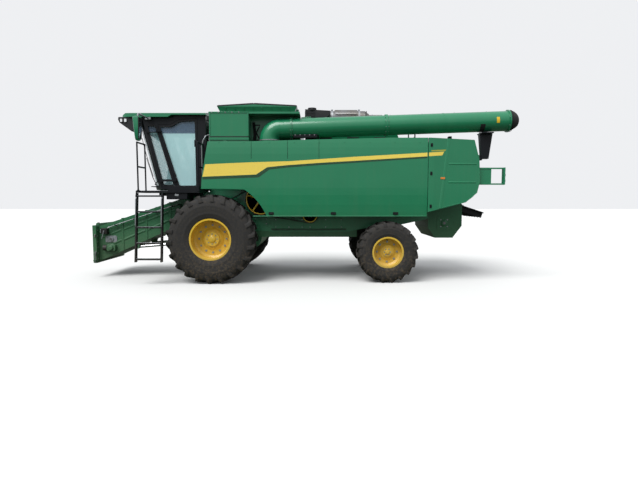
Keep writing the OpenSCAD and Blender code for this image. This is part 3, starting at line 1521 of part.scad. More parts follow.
// Outline of a belt around two pulleys, given as place, height and radius
function belt_outline(a, b, grow) =
    let (d = [b[0] - a[0], b[1] - a[1]], turn = atan2(d.y, d.x), lift = asin((a[2] - b[2]) / norm(d)))
    concat(arc(a[0], a[1], a[2] + grow, turn + 90 - lift, turn + 270 + lift, 16),
        arc(b[0], b[1], b[2] + grow, turn - 90 + lift, turn + 90 - lift, 16));

// Belt drives on the body's left wall
module belt_drives() {
    y = -body_half - 20;
    for (p = pulleys) color(rim_yellow) {
        bar_y(p[0], p[1], y - (p[4] + 1) * belt_pitch, y - p[3] * belt_pitch, p[2]);
        bar_y(p[0], p[1], y - (p[4] + 1) * belt_pitch - 20, -body_half - seat_gap, 45);
    }
    for (b = belts) color(black_paint) let (y1 = y - b[2] * belt_pitch - (belt_pitch - belt_w) / 2)
        difference() {
            side_plate(y1 - belt_w, y1, belt_outline(pulleys[b[0]], pulleys[b[1]], belt_t));
            side_plate(y1 - belt_w - 1, y1 + 1, belt_outline(pulleys[b[0]], pulleys[b[1]], -belt_lap));
        }
}

// Grain and tailings elevators on the body's right wall
module elevators() {
    y0 = body_half + seat_gap;
    color(machine_green) {
        side_plate(y0, y0 + 190, concat(arc(-420, 1060, 170, 160, 350, 10),
            [[60, 2240], [-280, 2240]]));
        side_plate(y0, y0 + 150, concat(arc(2250, 1500, 110, 220, 400, 10),
            [[1790, 2240], [1590, 2240]]));
    }
}

main_frame();
separator_body();
front_axle();
rear_axle();
tie_rod();
knuckle_left();
knuckle_right();
front_rim_left();
front_rim_right();
front_tyre_left();
front_tyre_right();
rear_rim_left();
rear_rim_right();
rear_tyre_left();
rear_tyre_right();
cleaning_fan();
feeder_house();
feeder_face();
feeder_drum();
lift_barrels();
lift_rods();
cab_frame();
cab_roof();
light_bar();
lamps();
cab_glass();
cab_door();
door_glass();
seat();
controls();
mirrors();
platform();
ladder();
grain_tank();
tank_lid_front();
tank_lid_rear();
loading_auger();
auger_turret();
unloading_auger();
auger_spout();
auger_rest();
engine_deck();
engine_block();
exhaust();
air_cleaner();
cooling_box();
rotary_screen();
shield_left();
shield_right();
rear_hood();
chopper_housing();
chopper_rotor();
tailboard();
rear_ladder();
belt_drives();
elevators();
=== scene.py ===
import math

import bmesh
import bpy
from mathutils import Matrix, Vector


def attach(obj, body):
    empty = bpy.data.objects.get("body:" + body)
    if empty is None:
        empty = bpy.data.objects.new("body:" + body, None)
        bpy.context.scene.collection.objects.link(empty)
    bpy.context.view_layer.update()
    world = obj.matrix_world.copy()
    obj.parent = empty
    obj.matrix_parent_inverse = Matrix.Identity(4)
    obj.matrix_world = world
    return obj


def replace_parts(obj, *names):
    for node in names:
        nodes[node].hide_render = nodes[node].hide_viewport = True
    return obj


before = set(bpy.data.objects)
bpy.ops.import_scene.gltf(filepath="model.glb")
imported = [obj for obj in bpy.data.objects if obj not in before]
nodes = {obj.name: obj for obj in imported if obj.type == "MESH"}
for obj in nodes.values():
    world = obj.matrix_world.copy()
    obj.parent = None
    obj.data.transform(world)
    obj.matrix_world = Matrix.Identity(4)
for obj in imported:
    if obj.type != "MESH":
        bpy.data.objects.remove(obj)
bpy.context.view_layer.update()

scene = bpy.context.scene
gap = 0.0003  # how far trim stands off the sheet that it sits on


def linked(name, data):
    piece = bpy.data.objects.new(name, data)
    scene.collection.objects.link(piece)
    return piece


def evaluated(piece):  # the piece with its modifiers worked out
    return piece.evaluated_get(bpy.context.evaluated_depsgraph_get())


def cutAlong(form, place, across):
    geometry = form.verts[:] + form.edges[:] + form.faces[:]
    bmesh.ops.bisect_plane(form, geom=geometry, plane_co=place, plane_no=across)


def linear(red, green, blue, alpha=1.0):
    def channel(value):
        value /= 255
        return value / 12.92 if value <= 0.04045 else ((value + 0.055) / 1.055) ** 2.4
    return (channel(red), channel(green), channel(blue), alpha)


def shade(colour, share, lift=0.0):
    return tuple(channel * share + lift for channel in colour[:3]) + (1,)


class Wire:  # a socket of a node tree, with arithmetic
    def __init__(self, graph, socket):
        self.graph = graph
        self.socket = socket

    def output(self, name):
        return Wire(self.graph, self.socket.node.outputs[name])

    def calc(self, operation, first, second=0.0, third=0.0):
        return self.graph.add("ShaderNodeMath", {"operation": operation}, {0: first, 1: second, 2: third})

    def __add__(self, other):
        return self.calc("ADD", self, other)

    def __radd__(self, other):
        return self.calc("ADD", other, self)

    def __sub__(self, other):
        return self.calc("SUBTRACT", self, other)

    def __rsub__(self, other):
        return self.calc("SUBTRACT", other, self)

    def __mul__(self, other):
        return self.calc("MULTIPLY", self, other)

    def __rmul__(self, other):
        return self.calc("MULTIPLY", other, self)

    def __truediv__(self, other):
        return self.calc("DIVIDE", self, other)

    def __pow__(self, other):
        return self.calc("POWER", self, other)

    def above(self, edge, width=0.01):  # 0 below the edge, 1 above it
        return self.graph.add("ShaderNodeMapRange", {"interpolation_type": "SMOOTHSTEP"},
            {"Value": self, "From Min": edge - width, "From Max": edge + width})

    def below(self, edge, width=0.01):
        return 1 - self.above(edge, width)

    def sine(self):
        return self.calc("SINE", self)


class Graph:  # a node tree that is built by one method
    def __init__(self, tree):
        self.tree = tree

    def add(self, kind, settings=None, sockets=None, output=0):
        node = self.tree.nodes.new(kind)
        for key, value in (settings or {}).items():
            if key == "stops":
                for stop in list(node.color_ramp.elements)[1:]:
                    node.color_ramp.elements.remove(stop)
                for place, colour in value:
                    stop = node.color_ramp.elements.new(place)
                    stop.color = colour
                node.color_ramp.elements.remove(node.color_ramp.elements[0])
            else:
                setattr(node, key, value)
        for key, value in (sockets or {}).items():
            if isinstance(value, Wire):
                self.tree.links.new(value.socket, node.inputs[key])
            else:
                node.inputs[key].default_value = value
        return Wire(self, node.outputs[output] if node.outputs else None)


class Finish(Graph):  # a material with its Object coordinates and common textures at hand
    def __init__(self, name):
        self.material = bpy.data.materials.new(name)
        self.material.use_nodes = True
        super().__init__(self.material.node_tree)
        self.tree.nodes.clear()
        self.place = self.add("ShaderNodeTexCoord", output="Object")
        axes = self.add("ShaderNodeSeparateXYZ", None, {0: self.place})
        self.x, self.y, self.z = axes, axes.output("Y"), axes.output("Z")

    def noise(self, scale, detail=3.0, roughness=0.55, stretch=(1, 1, 1)):
        place = self.add("ShaderNodeMapping", None, {"Vector": self.place, "Scale": stretch})
        return self.add("ShaderNodeTexNoise", None, {"Vector": place, "Scale": scale, "Detail": detail,
            "Roughness": roughness})

    def cells(self, scale, feature="F1", output="Distance"):
        return self.add("ShaderNodeTexVoronoi", {"feature": feature},
            {"Vector": self.place, "Scale": scale}, output)

    def mix(self, factor, first, second, blend="MIX"):
        made = self.add("ShaderNodeMix", {"data_type": "RGBA", "blend_type": blend}, {0: factor})
        node = made.socket.node
        for index, value in ((6, first), (7, second)):
            if isinstance(value, Wire):
                self.tree.links.new(value.socket, node.inputs[index])
            else:
                node.inputs[index].default_value = value
        return Wire(self, node.outputs[2])

    def bump(self, height, strength, distance, under=None):
        sockets = {"Height": height, "Strength": strength, "Distance": distance}
        if under:
            sockets["Normal"] = under
        return self.add("ShaderNodeBump", None, sockets)

    def done(self, **sockets):
        renamed = {key.replace("_", " "): value for key, value in sockets.items()}
        shader = self.add("ShaderNodeBsdfPrincipled", None, renamed)
        self.add("ShaderNodeOutputMaterial", None, {"Surface": shader})
        return self.material


dustColour = linear(150, 138, 116)
mudColour = linear(96, 82, 62)


# Painted sheet: body colour that fades a little, dust low down and in streaks, a faint orange peel
def paintedSheet(name, colour, roughness=0.32, coat=0.5, dust=1.0, shine=0.5):
    f = Finish(name)
    patches = f.noise(1.3, 4.0)
    streaks = f.noise(5.0, 5.0, 0.6, (1.6, 1.6, 0.16))
    grain = f.noise(60.0, 4.0, 0.65)
    tone = f.mix(patches.above(0.5, 0.22) * 0.35, colour, shade(colour, 0.82))
    low = f.z.below(0.95, 0.85)
    cover = (low * 0.42 + streaks.above(0.6, 0.16) * 0.04) * grain.above(0.45, 0.25) * dust
    body = f.mix(cover, tone, dustColour)
    speck = f.noise(240.0, 2.0).above(0.68, 0.05) * low * 0.5 * dust
    body = f.mix(speck, body, mudColour)
    peel = f.noise(420.0, 1.0)
    sway = f.noise(2.6, 1.0)
    normal = f.bump(peel, 0.05, 0.0006, f.bump(sway, 0.12, 0.012))
    return f.done(Base_Color=body, Roughness=roughness + cover * 0.5 + patches * 0.06,
        Specular_IOR_Level=shine, Coat_Weight=coat * (1 - cover), Coat_Roughness=0.08, Normal=normal)


# Moulded plastic or coated steel with a fine grain
def grainedPlastic(name, colour, roughness=0.55, grainScale=700.0, dust=0.6):
    f = Finish(name)
    patches = f.noise(3.0, 4.0)
    tone = f.mix(patches.above(0.52, 0.2) * 0.5, colour, shade(colour, 1.5, 0.004))
    cover = (f.z.below(1.1, 0.9) * 0.4 + patches.above(0.6, 0.15) * 0.12) * f.noise(55.0, 3.0).above(0.45,
        0.2) * dust
    body = f.mix(cover, tone, dustColour)
    normal = f.bump(f.noise(grainScale, 2.0), 0.25, 0.0006)
    return f.done(Base_Color=body, Roughness=roughness + patches * 0.12, Normal=normal)


def tyreRubber(name):
    f = Finish(name)
    patches = f.noise(7.0, 5.0, 0.6)
    tone = f.mix(patches, linear(32, 32, 33), linear(52, 50, 48))
    wet = f.noise(22.0, 5.0, 0.7).above(0.56, 0.14)
    cover = f.z.below(0.5, 0.6) * wet * 0.75 + wet * 0.16
    body = f.mix(cover, tone, mudColour)
    normal = f.bump(f.noise(160.0, 4.0), 0.3, 0.0015)
    return f.done(Base_Color=body, Roughness=0.78 + patches * 0.15, Normal=normal)


# Galvanised or bare steel with spangle
def zincSteel(name, colour, roughness=0.42):
    f = Finish(name)
    spangle = f.cells(38.0, "F1", "Color")
    fleck = f.add("ShaderNodeSeparateXYZ", None, {0: spangle})
    scratch = f.noise(90.0, 3.0, 0.6, (1, 1, 9))
    tone = f.mix(fleck * 0.6, colour, shade(colour, 0.62))
    cover = f.noise(6.0, 5.0).above(0.55, 0.15) * 0.35
    body = f.mix(cover, tone, linear(120, 112, 98))
    return f.done(Base_Color=body, Metallic=0.85 - cover,
        Roughness=roughness + fleck * 0.15 + scratch * 0.08, Normal=f.bump(scratch, 0.15, 0.0008))


def chromedRod(name):
    f = Finish(name)
    film = f.noise(12.0, 4.0)
    return f.done(Base_Color=f.mix(film * 0.3, linear(225, 226, 228), linear(160, 158, 152)), Metallic=1.0,
        Roughness=0.08 + film * 0.12)


# Stainless canister: brushed, with a straw and blue heat tint
def heatedSteel(name):
    f = Finish(name)
    brush = f.noise(120.0, 3.0, 0.6, (0.05, 1, 1))
    heat = f.noise(2.2, 3.0)
    tint = f.add("ShaderNodeValToRGB", {"stops": [(0.0, linear(150, 153, 158)), (0.5, linear(134, 134, 134)),
        (0.7, linear(122, 116, 106)), (1.0, linear(104, 106, 114))]}, {0: heat})
    soot = f.noise(9.0, 5.0).above(0.58, 0.12) * 0.35
    return f.done(Base_Color=f.mix(soot, tint, linear(70, 66, 60)), Metallic=0.9 - soot * 0.6,
        Roughness=0.26 + brush * 0.2 + soot * 0.3, Normal=f.bump(brush, 0.12, 0.0006))


# Tinted safety glass: clear but bluish, dusty, and darker above a height as painted shade for the dark cab
# interior seen through it
def tintedGlass(name, colour, alpha, dustAmount, shadeStart):
    f = Finish(name)
    # the glass turns darker above shadeStart: painted shade standing in for the dark cab interior seen
    # through the glass
    shadedTop = f.z.above(shadeStart, 0.02)
    film = f.noise(8.0, 5.0, 0.65).above(0.55, 0.2)
    streak = f.noise(14.0, 3.0, 0.5, (1, 1, 0.15)).above(0.6, 0.1)
    cover = film * dustAmount + streak * dustAmount * 0.5
    tone = f.mix(shadedTop, colour, linear(92, 118, 142))
    return f.done(Base_Color=f.mix(cover, tone, linear(176, 176, 168)), Alpha=alpha + cover * 0.6,
        Roughness=0.03 + cover * 0.5, IOR=1.5, Coat_Weight=0.6)


def lampGlass(name, colour, glow=0.0):
    f = Finish(name)
    rib = (f.y * 420.0).sine() * 0.5 + 0.5
    speck = f.noise(40.0, 2.0)
    return f.done(Base_Color=f.mix(speck * 0.3, colour, shade(colour, 0.6)), Roughness=0.08 + speck * 0.1,
        Coat_Weight=1.0, Normal=f.bump(rib, 0.25, 0.001), Emission_Color=colour, Emission_Strength=glow)


def wovenSeat(name):
    f = Finish(name)
    weave = ((f.x + f.y) * 900.0).sine() * ((f.z - f.y) * 900.0).sine() * 0.5 + 0.5
    patches = f.noise(9.0, 4.0)
    tone = f.mix(weave, linear(38, 39, 42), linear(66, 67, 70))
    return f.done(Base_Color=f.mix(patches.above(0.6, 0.15) * 0.3, tone, linear(96, 92, 84)), Roughness=0.9,
        Sheen_Weight=0.3, Normal=f.bump(weave, 0.5, 0.001))


# thin film with fade and grime: the yellow and olive decals, and the dark film that is painted shadow under
# the band
def decalAndShadowFilm(name, colour):
    f = Finish(name)
    fade = f.noise(3.0, 3.0)
    grime = f.noise(30.0, 5.0, 0.65).above(0.62, 0.1) * 0.25
    return f.done(Base_Color=f.mix(grime, f.mix(fade * 0.25, colour, shade(colour, 0.85)), dustColour),
        Roughness=0.34 + fade * 0.1, Coat_Weight=0.3)


def mirrorGlass(name):
    f = Finish(name)
    film = f.noise(10.0, 4.0).above(0.6, 0.15)
    return f.done(Base_Color=f.mix(film * 0.2, linear(210, 216, 220), dustColour), Metallic=1.0,
        Roughness=0.04 + film * 0.2)


finishes = {
    "green": paintedSheet("machineGreen", linear(24, 128, 86)),
    "darkGreen": paintedSheet("chassisGreen", linear(20, 104, 64), 0.4, 0.25, 0.9),
    "yellow": paintedSheet("rimYellow", linear(240, 196, 40), 0.35, 0.4, 1.3),
    "black": paintedSheet("frameBlack", linear(13, 16, 22), 0.42, 0.05, 0.4, 0.28),
    "plastic": grainedPlastic("blackPlastic", linear(20, 22, 26), dust=0.4),
    "softPlastic": grainedPlastic("cabPlastic", linear(58, 60, 64), 0.6, 500.0, 0.1),
    "tyre": tyreRubber("tyreRubber"),
    "rubber": grainedPlastic("blackRubber", linear(26, 26, 27), 0.75, 300.0, 0.5),
    "zinc": zincSteel("galvanisedSteel", linear(176, 180, 184)),
    "steel": zincSteel("bareSteel", linear(130, 130, 130), 0.5),
    "chrome": chromedRod("chromedRod"),
    "exhaust": heatedSteel("exhaustSteel"),
    "glass": tintedGlass("cabGlass", linear(172, 220, 224), 0.33, 0.08, 3.22),
    # the door glass's bright pale cyan colour and high alpha are painted sky light, seen through the opposite
    # window
    "doorGlass": tintedGlass("doorGlass", linear(206, 250, 252), 0.64, 0.07, 3.19),
    "lamp": lampGlass("lampLens", linear(236, 238, 240), 0.15),
    "redLamp": lampGlass("rearLampLens", linear(176, 22, 18)),
    "amber": lampGlass("amberLens", linear(232, 132, 20)),
    "seat": wovenSeat("seatFabric"),
    "decal": decalAndShadowFilm("yellowFilm", linear(252, 222, 92)),
    "thinDecal": decalAndShadowFilm("oliveFilm", linear(168, 170, 60)),
    # dark green film colour: painted shadow under the ledge below the yellow band
    "bandShadow": decalAndShadowFilm("darkFilm", linear(16, 70, 42)),
    "mirror": mirrorGlass("mirrorGlass"),
    "screen": grainedPlastic("displayScreen", linear(112, 122, 132), 0.2, 900.0, 0.1),
}
print("materials made:", len(finishes))

nodeFinish = {
    "green": ["separator_body", "cab_roof", "mirrors", "grain_tank", "auger_turret", "unloading_auger",
        "engine_deck", "shield_left", "shield_right", "rear_hood", "elevators"],
    "darkGreen": ["main_frame", "front_axle", "rear_axle", "knuckle_left", "knuckle_right", "feeder_house",
        "feeder_face", "chopper_housing"],
    "yellow": ["front_rim_left", "front_rim_right", "rear_rim_left", "rear_rim_right"],
    "black": ["lift_barrels", "cab_frame", "cab_door", "platform", "ladder", "auger_rest", "cooling_box",
        "rear_ladder", "tailboard"],
    "plastic": ["light_bar", "air_cleaner", "controls", "tank_lid_front", "tank_lid_rear", "belt_drives"],
    "rubber": ["auger_spout"],
    "tyre": ["front_tyre_left", "front_tyre_right", "rear_tyre_left", "rear_tyre_right"],
    "zinc": ["tie_rod", "rotary_screen", "loading_auger"],
    "steel": ["cleaning_fan", "feeder_drum", "chopper_rotor", "engine_block"],
    "chrome": ["lift_rods"],
    "exhaust": ["exhaust"],
    "glass": ["cab_glass"],
    "doorGlass": ["door_glass"],
    "lamp": ["lamps"],
    "seat": ["seat"],
}
for finishName, members in nodeFinish.items():
    for member in members:
        node = nodes[member]
        node.data.materials.clear()
        node.data.materials.append(finishes[finishName])
print("CAD nodes painted:", sum(len(members) for members in nodeFinish.values()))

# Camera at the photograph's place and the studio round it
camera = {"place": (0.45, -11.5, 1.75), "pitch": 4.78, "yaw": 0.0, "focal": 479.0, "width": 638}
cameraData = bpy.data.cameras.new("photoCamera")
cameraObject = linked("photoCamera", cameraData)
cameraData.sensor_width = 36.0
cameraData.lens = camera["focal"] / camera["width"] * 36.0
cameraObject.location = camera["place"]
cameraObject.rotation_euler = (math.radians(90 - camera["pitch"]), 0, math.radians(camera["yaw"]))
scene.camera = cameraObject
scene.view_settings.view_transform = "Standard"

studio = {
    "floorSize": 160.0, "skyStrength": 0.85, "keyEnergy": 2.7, "keyTilt": (28, -24),
    "floorColour": linear(226, 226, 224),
}


def makeFloor():
    half = studio["floorSize"] / 2
    mesh = bpy.data.meshes.new("studioFloor")
    mesh.from_pydata([(-half, -half, 0), (half, -half, 0), (half, half, 0), (-half, half, 0)], [],
        [(0, 1, 2, 3)])
    floor = linked("studioFloor", mesh)
    f = Finish("studioFloor")
    path = f.add("ShaderNodeLightPath", output="Is Camera Ray")
    pale = f.add("ShaderNodeBsdfDiffuse", None, {"Color": studio["floorColour"]})
    dim = f.add("ShaderNodeBsdfDiffuse", None, {"Color": linear(84, 92, 80)})
    blend = f.add("ShaderNodeMixShader", None, {0: path, 1: dim, 2: pale})
    f.add("ShaderNodeOutputMaterial", None, {"Surface": blend})
    mesh.materials.append(f.material)


def makeLight():
    world = bpy.data.worlds.new("studioSky")
    scene.world = world
    world.use_nodes = True
    g = Graph(world.node_tree)
    g.tree.nodes.clear()
    direction = g.add("ShaderNodeTexCoord", output="Generated")
    up = g.add("ShaderNodeSeparateXYZ", None, {0: direction}, "Z")
    ramp = g.add("ShaderNodeValToRGB", {"stops": [(0.0, (0.1, 0.11, 0.1, 1)), (0.48, (0.16, 0.17, 0.16, 1)),
        (0.52, (0.62, 0.64, 0.68, 1)), (1.0, (1.0, 1.02, 1.06, 1))]}, {0: up * 0.5 + 0.5})
    soft = g.add("ShaderNodeBackground", None, {"Color": ramp, "Strength": studio["skyStrength"]})
    white = g.add("ShaderNodeBackground", None, {"Color": (0.86, 0.87, 0.89, 1), "Strength": 1.0})
    seen = g.add("ShaderNodeLightPath", output="Is Camera Ray")
    blend = g.add("ShaderNodeMixShader", None, {0: seen, 1: soft, 2: white})
    g.add("ShaderNodeOutputWorld", None, {"Surface": blend})
    sun = bpy.data.lights.new("softKey", "SUN")
    sun.energy = studio["keyEnergy"]
    sun.angle = math.radians(40)
    lamp = linked("softKey", sun)
    lamp.rotation_euler = (math.radians(studio["keyTilt"][0]), math.radians(studio["keyTilt"][1]), 0)


makeFloor()
makeLight()
print("camera and studio ready")


def dress(piece, finishName, body, smoothAngle=35.0):
    mesh = piece.data
    if not mesh.materials:
        mesh.materials.append(finishes[finishName])
    form = bmesh.new()
    form.from_mesh(mesh)
    for face in form.faces:
        face.smooth = True
    for edge in form.edges:
        if len(edge.link_faces) != 2 or edge.calc_face_angle(0.0) > math.radians(smoothAngle):
            edge.smooth = False
    form.to_mesh(mesh)
    form.free()
    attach(piece, body)
    return piece


class Shape:  # gathers boxes, tubes, plates and turned forms into one mesh, in metres
    def __init__(self):
        self.points = []
        self.faces = []

    def put(self, points, faces):
        start = len(self.points)
        self.points += [tuple(point) for point in points]
        self.faces += [tuple(start + index for index in face) for face in faces]
        return self

    def join(self, other):
        return self.put(other.points, other.faces)

    def box(self, x0, x1, y0, y1, z0, z1):
        corners = [(x, y, z) for x in sorted((x0, x1)) for y in sorted((y0, y1)) for z in sorted((z0, z1))]
        return self.put(corners, [(0, 1, 3, 2), (4, 6, 7, 5), (0, 4, 5, 1), (2, 3, 7, 6), (0, 2, 6, 4),
            (1, 5, 7, 3)])

    def block(self, corners):  # four corners of one end and then the four of the other
        return self.put(corners, [(0, 1, 2, 3), (4, 7, 6, 5), (0, 4, 5, 1), (1, 5, 6, 2), (2, 6, 7, 3),
            (3, 7, 4, 0)])

    def plate(self, outline, low, high, axis="y"):  # a flat outline, given a thickness along an axis
        low, high = sorted((low, high))
        def corner(point, depth):
            u, v = point
            return {"y": (u, depth, v), "x": (depth, u, v), "z": (u, v, depth)}[axis]
        count = len(outline)
        points = [corner(point, low) for point in outline] + [corner(point, high) for point in outline]
        sides = [(i, (i + 1) % count, count + (i + 1) % count, count + i) for i in range(count)]
        return self.put(points, [tuple(range(count)), tuple(range(2 * count - 1, count - 1, -1))] + sides)

    def tube(self, path, radius, sides=10, closed=False):
        path = [Vector(point) for point in path]
        count = len(path)
        radii = radius if isinstance(radius, (list, tuple)) else [radius] * count
        points = []
        side = None
        for i, place in enumerate(path):
            if closed:
                along = (path[(i + 1) % count] - path[i - 1]).normalized()
            else:
                along = (path[min(i + 1, count - 1)] - path[max(i - 1, 0)]).normalized()
            if side is None:
                side = along.orthogonal().normalized()
            side = (side - along * side.dot(along)).normalized()
            up = along.cross(side)
            for k in range(sides):
                angle = 2 * math.pi * k / sides
                points.append(place + (side * math.cos(angle) + up * math.sin(angle)) * radii[i])
        faces = []
        for i in range(count if closed else count - 1):
            for k in range(sides):
                a, b = i * sides + k, i * sides + (k + 1) % sides
                c, d = ((i + 1) % count) * sides + (k + 1) % sides, ((i + 1) % count) * sides + k
                faces.append((a, b, c, d))
        if not closed:
            faces.append(tuple(range(sides - 1, -1, -1)))
            faces.append(tuple((count - 1) * sides + k for k in range(sides)))
        return self.put(points, faces)

    def turned(self, profile, centre, axis="y", sides=48):  # profile is radius and place along the axis
        points = []
        for radius, along in profile:
            for k in range(sides):
                angle = 2 * math.pi * k / sides
                u, v = radius * math.cos(angle), radius * math.sin(angle)
                offset = {"y": (u, along, v), "x": (along, u, v), "z": (u, v, along)}[axis]
                points.append(tuple(centre[i] + offset[i] for i in range(3)))
        faces = []
        for i in range(len(profile) - 1):
            for k in range(sides):
                a, b = i * sides + k, i * sides + (k + 1) % sides
                faces.append((a, b, b + sides, a + sides))
        if profile[0] != profile[-1]:
            last = (len(profile) - 1) * sides
            faces += [tuple(range(sides)), tuple(last + k for k in range(sides - 1, -1, -1))]
        else:
            count = (len(profile) - 1) * sides
            faces = [tuple(index % count for index in face) for face in faces]
            points = points[:count]
        return self.put(points, faces)

    def disc(self, start, end, radius, sides=24):
        return self.tube([start, end], radius, sides)

    def object(self, name, bevel=0.0):
        mesh = bpy.data.meshes.new(name)
        mesh.from_pydata(self.points, [], self.faces)
        form = bmesh.new()
        form.from_mesh(mesh)
        bmesh.ops.recalc_face_normals(form, faces=form.faces)
        form.to_mesh(mesh)
        form.free()
        piece = linked(name, mesh)
        if bevel:
            edge = piece.modifiers.new("edge", "BEVEL")
            edge.width = bevel
            edge.segments = 2
            edge.limit_method = "ANGLE"
            edge.angle_limit = math.radians(30)
        return piece

    def make(self, name, finishName, body="chassis", bevel=0.0, smoothAngle=35.0):
        return dress(self.object(name, bevel), finishName, body, smoothAngle)


def onCircle(centre, radius, degrees, axis="y"):  # a place on a circle round an axis
    u, v = radius * math.cos(math.radians(degrees)), radius * math.sin(math.radians(degrees))
    offset = {"y": (u, 0, v), "x": (0, u, v), "z": (u, v, 0)}[axis]
    return tuple(centre[k] + offset[k] for k in range(3))


def circlePath(centre, radius, axis="y", steps=36):
    return [onCircle(centre, radius, 360 * k / steps, axis) for k in range(steps)]


def rectangle(x0, x1, z0, z1):
    return [(x0, z0), (x1, z0), (x1, z1), (x0, z1)]


# corners of a pressing, place gives (u, v, lift) its point
def raisedPad(place, u0, u1, v0, v1, inset, low, high):
    du, dv = inset
    foot = [place(u, v, low) for u, v in rectangle(u0, u1, v0, v1)]
    return foot + [place(u, v, high) for u, v in rectangle(u0 + du, u1 - du, v0 + dv, v1 - dv)]


def placed(turn, points):
    return [tuple(turn @ Vector(point)) for point in points]


def hexBolt(place, axis="y", sign=1, size=0.012, height=0.009):  # hexagon head on a washer
    shape = Shape()
    def point(u, v, w):
        offset = {"y": (u, sign * w, v), "x": (sign * w, u, v), "z": (u, v, sign * w)}[axis]
        return tuple(place[k] + offset[k] for k in range(3))
    for radius, low, high, sides in ((size * 1.35, 0.0, height * 0.25, 12), (size, height * 0.25, height, 6)):
        ring = [(radius * math.cos(2 * math.pi * k / sides), radius * math.sin(2 * math.pi * k / sides))
            for k in range(sides)]
        points = [point(u, v, low) for u, v in ring] + [point(u, v, high) for u, v in ring]
        faces = [(k, (k + 1) % sides, sides + (k + 1) % sides, sides + k) for k in range(sides)]
        shape.put(points, faces + [tuple(range(sides)), tuple(range(sides, 2 * sides))])
    return shape


# Node trees for what repeats
def newTree(name, inputs):
    tree = bpy.data.node_groups.new(name, "GeometryNodeTree")
    for label, kind, value in inputs:
        item = tree.interface.new_socket(name=label, in_out="INPUT", socket_type=kind)
        if value is not None:
            item.default_value = value
    tree.interface.new_socket(name="Geometry", in_out="OUTPUT", socket_type="NodeSocketGeometry")
    graph = Graph(tree)
    entry = graph.add("NodeGroupInput")
    return graph, (lambda label: entry.output(label))


def closeTree(graph, geometry, finishInput):
    real = graph.add("GeometryNodeRealizeInstances", None, {"Geometry": geometry})
    painted = graph.add("GeometryNodeSetMaterial", None, {"Geometry": real, "Material": finishInput})
    graph.add("NodeGroupOutput", None, {"Geometry": painted})
    return graph.tree


def instances(graph, points, piece, rotation=None):
    source = graph.add("GeometryNodeObjectInfo", {"transform_space": "ORIGINAL"}, {"Object": piece},
        "Geometry")
    sockets = {"Points": points, "Instance": source}
    if rotation is not None:
        sockets["Rotation"] = rotation
    return graph.add("GeometryNodeInstanceOnPoints", None, sockets)


def axleTree():  # one piece repeated round an axle along Y
    graph, value = newTree("roundAxle", [("Piece", "NodeSocketObject", None), ("Count", "NodeSocketInt", 12),
        ("Centre", "NodeSocketVector", (0, 0, 0)), ("Start", "NodeSocketFloat", 0.0),
        ("Finish", "NodeSocketMaterial", None)])
    points = graph.add("GeometryNodePoints", None, {"Count": value("Count"), "Position": value("Centre")})
    index = graph.add("GeometryNodeInputIndex")
    turn = value("Start") + index * (2 * math.pi) / value("Count")
    rotation = graph.add("ShaderNodeCombineXYZ", None, {"Y": turn})
    return closeTree(graph, instances(graph, points, value("Piece"), rotation), value("Finish"))


def rowTree():  # one piece repeated along a straight line
    graph, value = newTree("straightRow", [("Piece", "NodeSocketObject", None),
        ("Count", "NodeSocketInt", 4), ("Start", "NodeSocketVector", (0, 0, 0)),
        ("Step", "NodeSocketVector", (0.1, 0, 0)), ("Finish", "NodeSocketMaterial", None)])
    line = graph.add("GeometryNodeMeshLine", {"mode": "OFFSET"},
        {"Count": value("Count"), "Start Location": value("Start"), "Offset": value("Step")})
    return closeTree(graph, instances(graph, line, value("Piece")), value("Finish"))


def meshTree():  # one piece repeated over a round or square field in the XZ plane
    graph, value = newTree("field", [("Piece", "NodeSocketObject", None), ("Columns", "NodeSocketInt", 10),
        ("Rows", "NodeSocketInt", 10), ("Pitch", "NodeSocketFloat", 0.02),
        ("Centre", "NodeSocketVector", (0, 0, 0)), ("Radius", "NodeSocketFloat", 100.0),
        ("Finish", "NodeSocketMaterial", None)])
    index = graph.add("GeometryNodeInputIndex")
    row = graph.add("ShaderNodeMath", {"operation": "FLOOR"}, {0: index / value("Columns")})
    column = index - row * value("Columns")
    odd = graph.add("ShaderNodeMath", {"operation": "MODULO"}, {0: row, 1: 2.0})
    x = (column - (value("Columns") - 1) * 0.5 + odd * 0.5) * value("Pitch")
    z = (row - (value("Rows") - 1) * 0.5) * value("Pitch") * 0.866
    offset = graph.add("ShaderNodeCombineXYZ", None, {"X": x, "Z": z})
    place = graph.add("ShaderNodeVectorMath", {"operation": "ADD"}, {0: offset, 1: value("Centre")})
    points = graph.add("GeometryNodePoints", None, {"Count": value("Columns") * value("Rows"),
        "Position": place})
    reach = (x ** 2 + z ** 2) ** 0.5
    outside = graph.add("FunctionNodeCompare", {"operation": "GREATER_THAN"}, {0: reach, 1: value("Radius")})
    kept = graph.add("GeometryNodeDeleteGeometry", None, {"Geometry": points, "Selection": outside})
    return closeTree(graph, instances(graph, kept, value("Piece")), value("Finish"))


trees = {"axle": axleTree(), "row": rowTree(), "field": meshTree()}


# the tree's result as a plain mesh on a body
def repeated(name, treeName, finishName, body, source, **inputs):
    tree = trees[treeName]
    piece = source.object(name + "Source") if isinstance(source, Shape) else source
    holder = linked(name + "Holder", bpy.data.meshes.new(name + "Holder"))
    pattern = holder.modifiers.new("pattern", "NODES")
    pattern.node_group = tree
    given = {"Piece": piece, "Finish": finishes[finishName], **inputs}
    for item in tree.interface.items_tree:
        if item.item_type == "SOCKET" and item.in_out == "INPUT" and item.name in given:
            pattern[item.identifier] = given[item.name]
    bpy.context.view_layer.update()
    mesh = bpy.data.meshes.new_from_object(evaluated(holder))
    mesh.name = name
    holder.modifiers.clear()
    bpy.data.objects.remove(holder)
    bpy.data.objects.remove(piece)
    return dress(linked(name, mesh), finishName, body)


bothSides = (("Left", -1), ("Right", 1))

